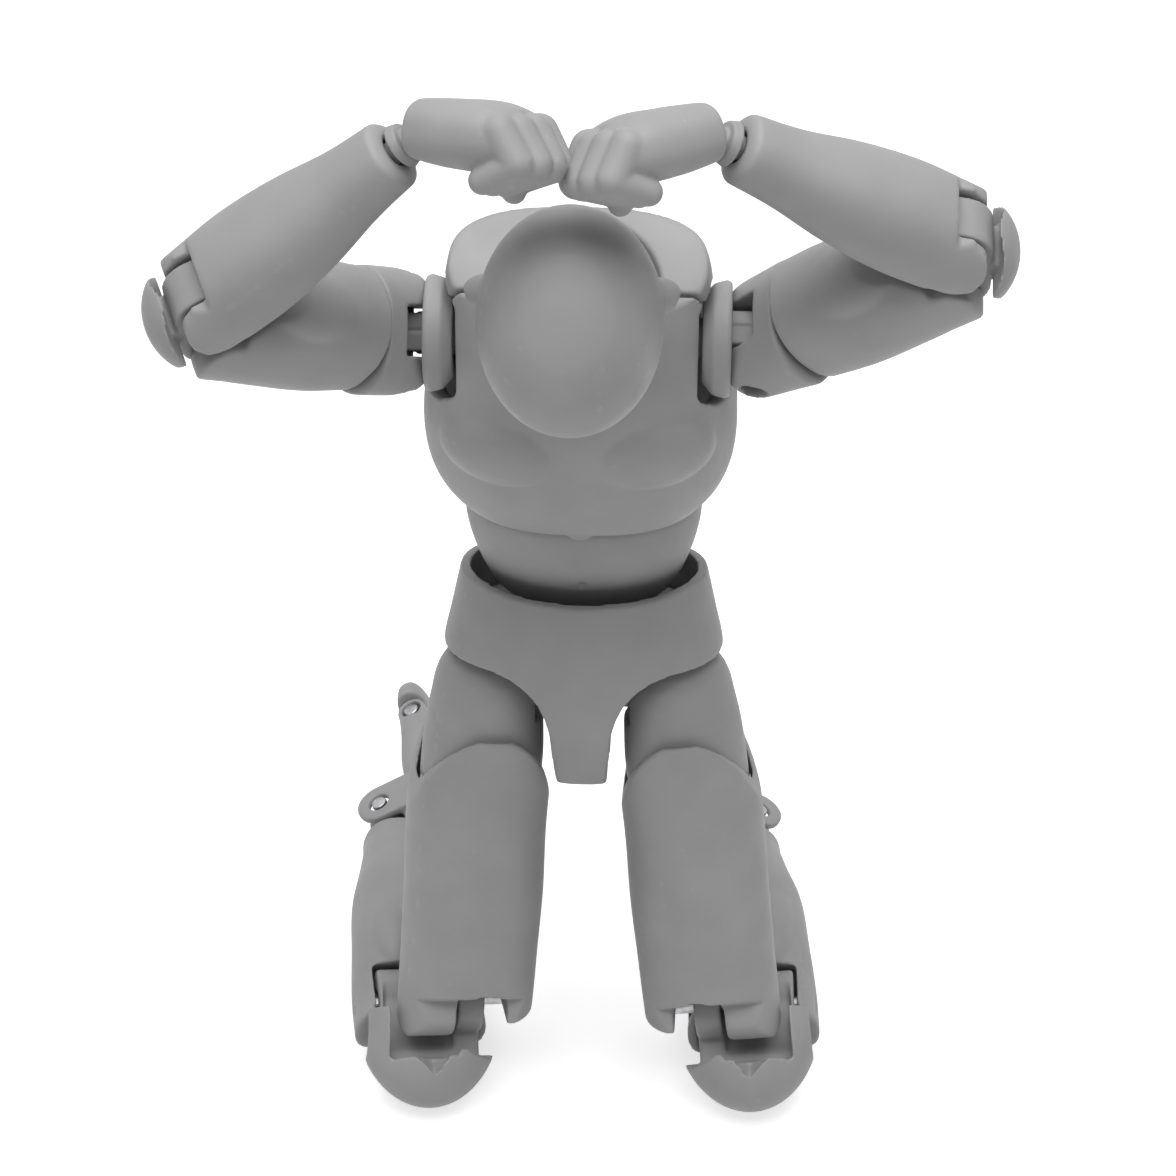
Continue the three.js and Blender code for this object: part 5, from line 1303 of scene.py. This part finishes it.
class FigureOperator:
    bl_options = {"REGISTER", "UNDO"}

    def execute(self, context):
        self.make()
        return {"FINISHED"}


def seen_directly(tree):
    """One where a ray comes from the camera, a reflection or clear plastic."""
    path = tree.nodes.new("ShaderNodeLightPath")
    total = path.outputs["Is Camera Ray"]
    for name in ("Is Glossy Ray", "Is Transmission Ray"):
        node = tree.nodes.new("ShaderNodeMath")
        node.operation = "MAXIMUM"
        linked(tree, total, node.inputs[0])
        linked(tree, path.outputs[name], node.inputs[1])
        total = node.outputs["Value"]
    return total


class FIGURE_OT_stage(FigureOperator, bpy.types.Operator):
    """Sets the pale floor, the soft studio light and the camera"""
    bl_idname = "figure.stage"
    bl_label = "Stage"

    def make(self):
        look = bpy.context.scene.figure_stage
        self.lay_floor(look)
        self.light(look)
        self.aim_camera(look)

    def lay_floor(self, look):
        deselect()
        bpy.ops.mesh.primitive_plane_add(size=FLOOR_SIZE)
        floor = bpy.context.object
        floor.name = "floor"
        material, tree, shader = new_material("pale_floor", look.floor_colour)
        shader.inputs["Base Color"].default_value = (*look.floor_colour, 1)
        shader.inputs["Roughness"].default_value = 0.9
        shader.inputs["Specular IOR Level"].default_value = 0.1
        glow = tree.nodes.new("ShaderNodeEmission")
        linked(tree, ranged(tree, seen_directly(tree), 0, 1, 0, FLOOR_GLOW), glow.inputs["Strength"])
        both = tree.nodes.new("ShaderNodeAddShader")
        linked(tree, shader.outputs["BSDF"], both.inputs[0])
        linked(tree, glow.outputs["Emission"], both.inputs[1])
        linked(tree, both.outputs["Shader"], tree.nodes["Material Output"].inputs["Surface"])
        floor.data.materials.append(material)

    def light(self, look):
        for name, place, size, power in (
                ("overhead_light", OVERHEAD_PLACE, OVERHEAD_SIZE, look.overhead_power),
                ("front_light", FRONT_PLACE, FRONT_SIZE, look.front_power)):
            deselect()
            aim = (Vector(LIGHT_TARGET) - Vector(place)).to_track_quat("-Z", "Y").to_euler()
            bpy.ops.object.light_add(type="AREA", location=place, rotation=aim)
            lamp = bpy.context.object
            lamp.name = name
            lamp.data.size = size
            lamp.data.energy = power
        world = bpy.data.worlds.new("even_light")
        bpy.context.scene.world = world
        world.use_nodes = True
        tree = world.node_tree
        sky = tree.nodes["Background"]
        sky.inputs["Color"].default_value = (1, 1, 1, 1)
        linked(tree, ranged(tree, seen_directly(tree), 0, 1, look.surround, 1),
               sky.inputs["Strength"])

    def aim_camera(self, look):
        target = trunk_frame("pelvis").translation + Vector(TARGET_FROM_HIPS) * MM
        back = Vector((sin(look.azimuth) * cos(look.elevation),
                       -cos(look.azimuth) * cos(look.elevation), sin(look.elevation)))
        deselect()
        bpy.ops.object.camera_add(
            location=target + back * look.distance, rotation=back.to_track_quat("Z", "Y").to_euler())
        camera = bpy.context.object
        camera.name = "photograph_camera"
        camera.data.lens = look.lens
        camera.data.sensor_width = SENSOR_WIDTH
        camera.data.clip_start = 0.01
        camera.data.clip_end = 20
        bpy.context.scene.camera = camera
        bpy.context.scene.view_settings.view_transform = "Standard"


class FIGURE_OT_head(FigureOperator, bpy.types.Operator):
    """Models the featureless head with its two small ears"""
    bl_idname = "figure.head"
    bl_label = "Head"

    def make(self):
        placed(head_piece(), "head", "head", trunk_frame("head"))


class FIGURE_OT_neck(FigureOperator, bpy.types.Operator):
    """Models the neck on its ball"""
    bl_idname = "figure.neck"
    bl_label = "Neck"

    def make(self):
        placed(neck_piece(), "neck", "neck", trunk_frame("neck"))


class FIGURE_OT_chest(FigureOperator, bpy.types.Operator):
    """Models the front and back shells of the chest"""
    bl_idname = "figure.chest"
    bl_label = "Chest"

    def make(self):
        for piece, node in zip(chest_pieces(), ("chest_front", "chest_back")):
            placed(piece, node, "chest", trunk_frame("chest"))


class FIGURE_OT_abdomen(FigureOperator, bpy.types.Operator):
    """Models the belly piece between chest and pelvis"""
    bl_idname = "figure.abdomen"
    bl_label = "Abdomen"

    def make(self):
        placed(abdomen_piece(), "abdomen", "abdomen", trunk_frame("abdomen"))


class FIGURE_OT_pelvis(FigureOperator, bpy.types.Operator):
    """Models the brief-shaped cover of the pelvis"""
    bl_idname = "figure.pelvis"
    bl_label = "Pelvis"

    def make(self):
        placed(pelvis_piece(), "pelvis_shell", "pelvis", trunk_frame("pelvis"))


class FIGURE_OT_shoulders(FigureOperator, bpy.types.Operator):
    """Models the shoulder cups and the hinges that stand in them"""
    bl_idname = "figure.shoulders"
    bl_label = "Shoulders"

    def make(self):
        placed_pair(shoulder_cup(), "shoulder_cup", arm_frame, "shoulder")
        placed_pair(shoulder_hinge(), "shoulder_hinge", arm_frame, "shoulder", "joint_plastic")


class FIGURE_OT_upper_arms(FigureOperator, bpy.types.Operator):
    """Models the caps of the shoulders and the upper arms"""
    bl_idname = "figure.upper_arms"
    bl_label = "Upper Arms"

    def make(self):
        placed_pair(deltoid_piece(), "deltoid", arm_frame, "deltoid")
        placed_pair(upper_arm_piece(), "upper_arm", arm_frame, "upper_arm")


class FIGURE_OT_elbows(FigureOperator, bpy.types.Operator):
    """Models the two-pin links of the elbows"""
    bl_idname = "figure.elbows"
    bl_label = "Elbows"

    def make(self):
        placed_pair(elbow_link(), "elbow_link", arm_frame, "elbow", "joint_plastic")


class FIGURE_OT_forearms(FigureOperator, bpy.types.Operator):
    """Models the forearms"""
    bl_idname = "figure.forearms"
    bl_label = "Forearms"

    def make(self):
        placed_pair(forearm_piece(), "forearm", arm_frame, "forearm")


class FIGURE_OT_hands(FigureOperator, bpy.types.Operator):
    """Models the wrist pegs and the closed fists"""
    bl_idname = "figure.hands"
    bl_label = "Hands"

    def make(self):
        placed_pair(wrist_peg(), "wrist_peg", arm_frame, "wrist", "joint_plastic")
        placed_pair(hand_piece(), "hand", arm_frame, "hand")


class FIGURE_OT_hips(FigureOperator, bpy.types.Operator):
    """Models the hip joints and the tops of the thighs"""
    bl_idname = "figure.hips"
    bl_label = "Hips"

    def make(self):
        placed_pair(hip_joint(), "hip_joint", leg_frame, "hip", "joint_plastic")
        placed_pair(thigh_top(), "thigh_top", leg_frame, "thigh_top")


class FIGURE_OT_thighs(FigureOperator, bpy.types.Operator):
    """Models the thighs"""
    bl_idname = "figure.thighs"
    bl_label = "Thighs"

    def make(self):
        placed_pair(thigh_piece(), "thigh", leg_frame, "thigh")


class FIGURE_OT_knees(FigureOperator, bpy.types.Operator):
    """Models the two-pin links with their kneecaps"""
    bl_idname = "figure.knees"
    bl_label = "Knees"

    def make(self):
        placed_pair(knee_link(), "knee_link", leg_frame, "knee")


class FIGURE_OT_shins(FigureOperator, bpy.types.Operator):
    """Models the shins"""
    bl_idname = "figure.shins"
    bl_label = "Shins"

    def make(self):
        placed_pair(shin_piece(), "shin", leg_frame, "shin")


class FIGURE_OT_feet(FigureOperator, bpy.types.Operator):
    """Models the ankle joints, the feet and the toes"""
    bl_idname = "figure.feet"
    bl_label = "Feet"

    def make(self):
        placed_pair(ankle_joint(), "ankle_joint", leg_frame, "ankle", "joint_plastic")
        placed_pair(foot_piece(), "foot", leg_frame, "foot")
        placed_pair(toe_piece(), "toe", leg_frame, "toe")


class FIGURE_OT_pins(FigureOperator, bpy.types.Operator):
    """Models the steel pins of all the hinges"""
    bl_idname = "figure.pins"
    bl_label = "Pins"

    def make(self):
        elbow, ankle, toe = ELBOW_PIN_HALF, ANKLE_BALL + 1.1, FOOT_WIDTH * 0.4
        table = (
            ("shoulder_pin", arm_frame, "deltoid", "deltoid", "y", -SHOULDER_PIN_HALF, SHOULDER_PIN_HALF),
            ("upper_elbow_pin", arm_frame, "upper_arm", "elbow", "x", -elbow, elbow),
            ("lower_elbow_pin", arm_frame, "forearm", "forearm", "x", -elbow, elbow),
            ("hip_pin", leg_frame, "thigh_top", "thigh_top", "y", -HIP_PIN_HALF, HIP_PIN_HALF),
            ("upper_knee_pin", leg_frame, "thigh", "knee", "x", KNEE_PIN_IN, KNEE_PIN_OUT),
            ("lower_knee_pin", leg_frame, "shin", "shin", "x", -LOWER_PIN_HALF, LOWER_PIN_HALF),
            ("ankle_pin", leg_frame, "foot", "ankle", "x", -ankle, ankle),
            ("toe_pin", leg_frame, "foot", "toe", "x", -toe, toe),
        )
        for node, frames, body, joint, axis, low, high in table:
            placed_pair(pin(axis, low, high), node, frames, body, "pin_steel", joint)


class FIGURE_OT_inner_parts(FigureOperator, bpy.types.Operator):
    """Finishes the blocks and ball pegs inside the trunk"""
    bl_idname = "figure.inner_parts"
    bl_label = "Inner Parts"

    def make(self):
        for node in ("pelvis_block", "chest_block", "waist_ball_peg", "chest_ball_peg", "head_ball_peg"):
            part = frame["nodes"][node]
            part.data.materials.clear()
            part.data.materials.append(finish_for("joint_plastic"))


class FIGURE_PT_panel(bpy.types.Panel):
    """Lists the sizes, the finishes and one button for each group of pieces"""
    bl_idname = "FIGURE_PT_panel"
    bl_label = "Jointed Drawing Figure"
    bl_space_type = "VIEW_3D"
    bl_region_type = "UI"
    bl_category = "Figure"

    def draw(self, context):
        for group in ("figure_shapes", "figure_finish", "figure_stage"):
            box = self.layout.box()
            settings = getattr(context.scene, group)
            for name in settings.__annotations__:
                box.prop(settings, name)
        for operator in OPERATORS:
            self.layout.operator(operator.bl_idname)


OPERATORS = (
    FIGURE_OT_stage, FIGURE_OT_inner_parts, FIGURE_OT_head, FIGURE_OT_neck, FIGURE_OT_chest,
    FIGURE_OT_abdomen, FIGURE_OT_pelvis, FIGURE_OT_shoulders, FIGURE_OT_upper_arms,
    FIGURE_OT_elbows, FIGURE_OT_forearms, FIGURE_OT_hands, FIGURE_OT_hips, FIGURE_OT_thighs,
    FIGURE_OT_knees, FIGURE_OT_shins, FIGURE_OT_feet, FIGURE_OT_pins,
)
CLASSES = (FigureShapes, FigureFinish, FigureStage, *OPERATORS, FIGURE_PT_panel)


def register():
    for cls in CLASSES:
        bpy.utils.register_class(cls)
    bpy.types.Scene.figure_shapes = PointerProperty(type=FigureShapes)
    bpy.types.Scene.figure_finish = PointerProperty(type=FigureFinish)
    bpy.types.Scene.figure_stage = PointerProperty(type=FigureStage)


def unregister():
    for name in ("figure_shapes", "figure_finish", "figure_stage"):
        delattr(bpy.types.Scene, name)
    for cls in reversed(CLASSES):
        bpy.utils.unregister_class(cls)


def main():
    register()
    for operator in OPERATORS:
        group, name = operator.bl_idname.split(".")
        getattr(getattr(bpy.ops, group), name)()


if __name__ == "__main__":
    main()
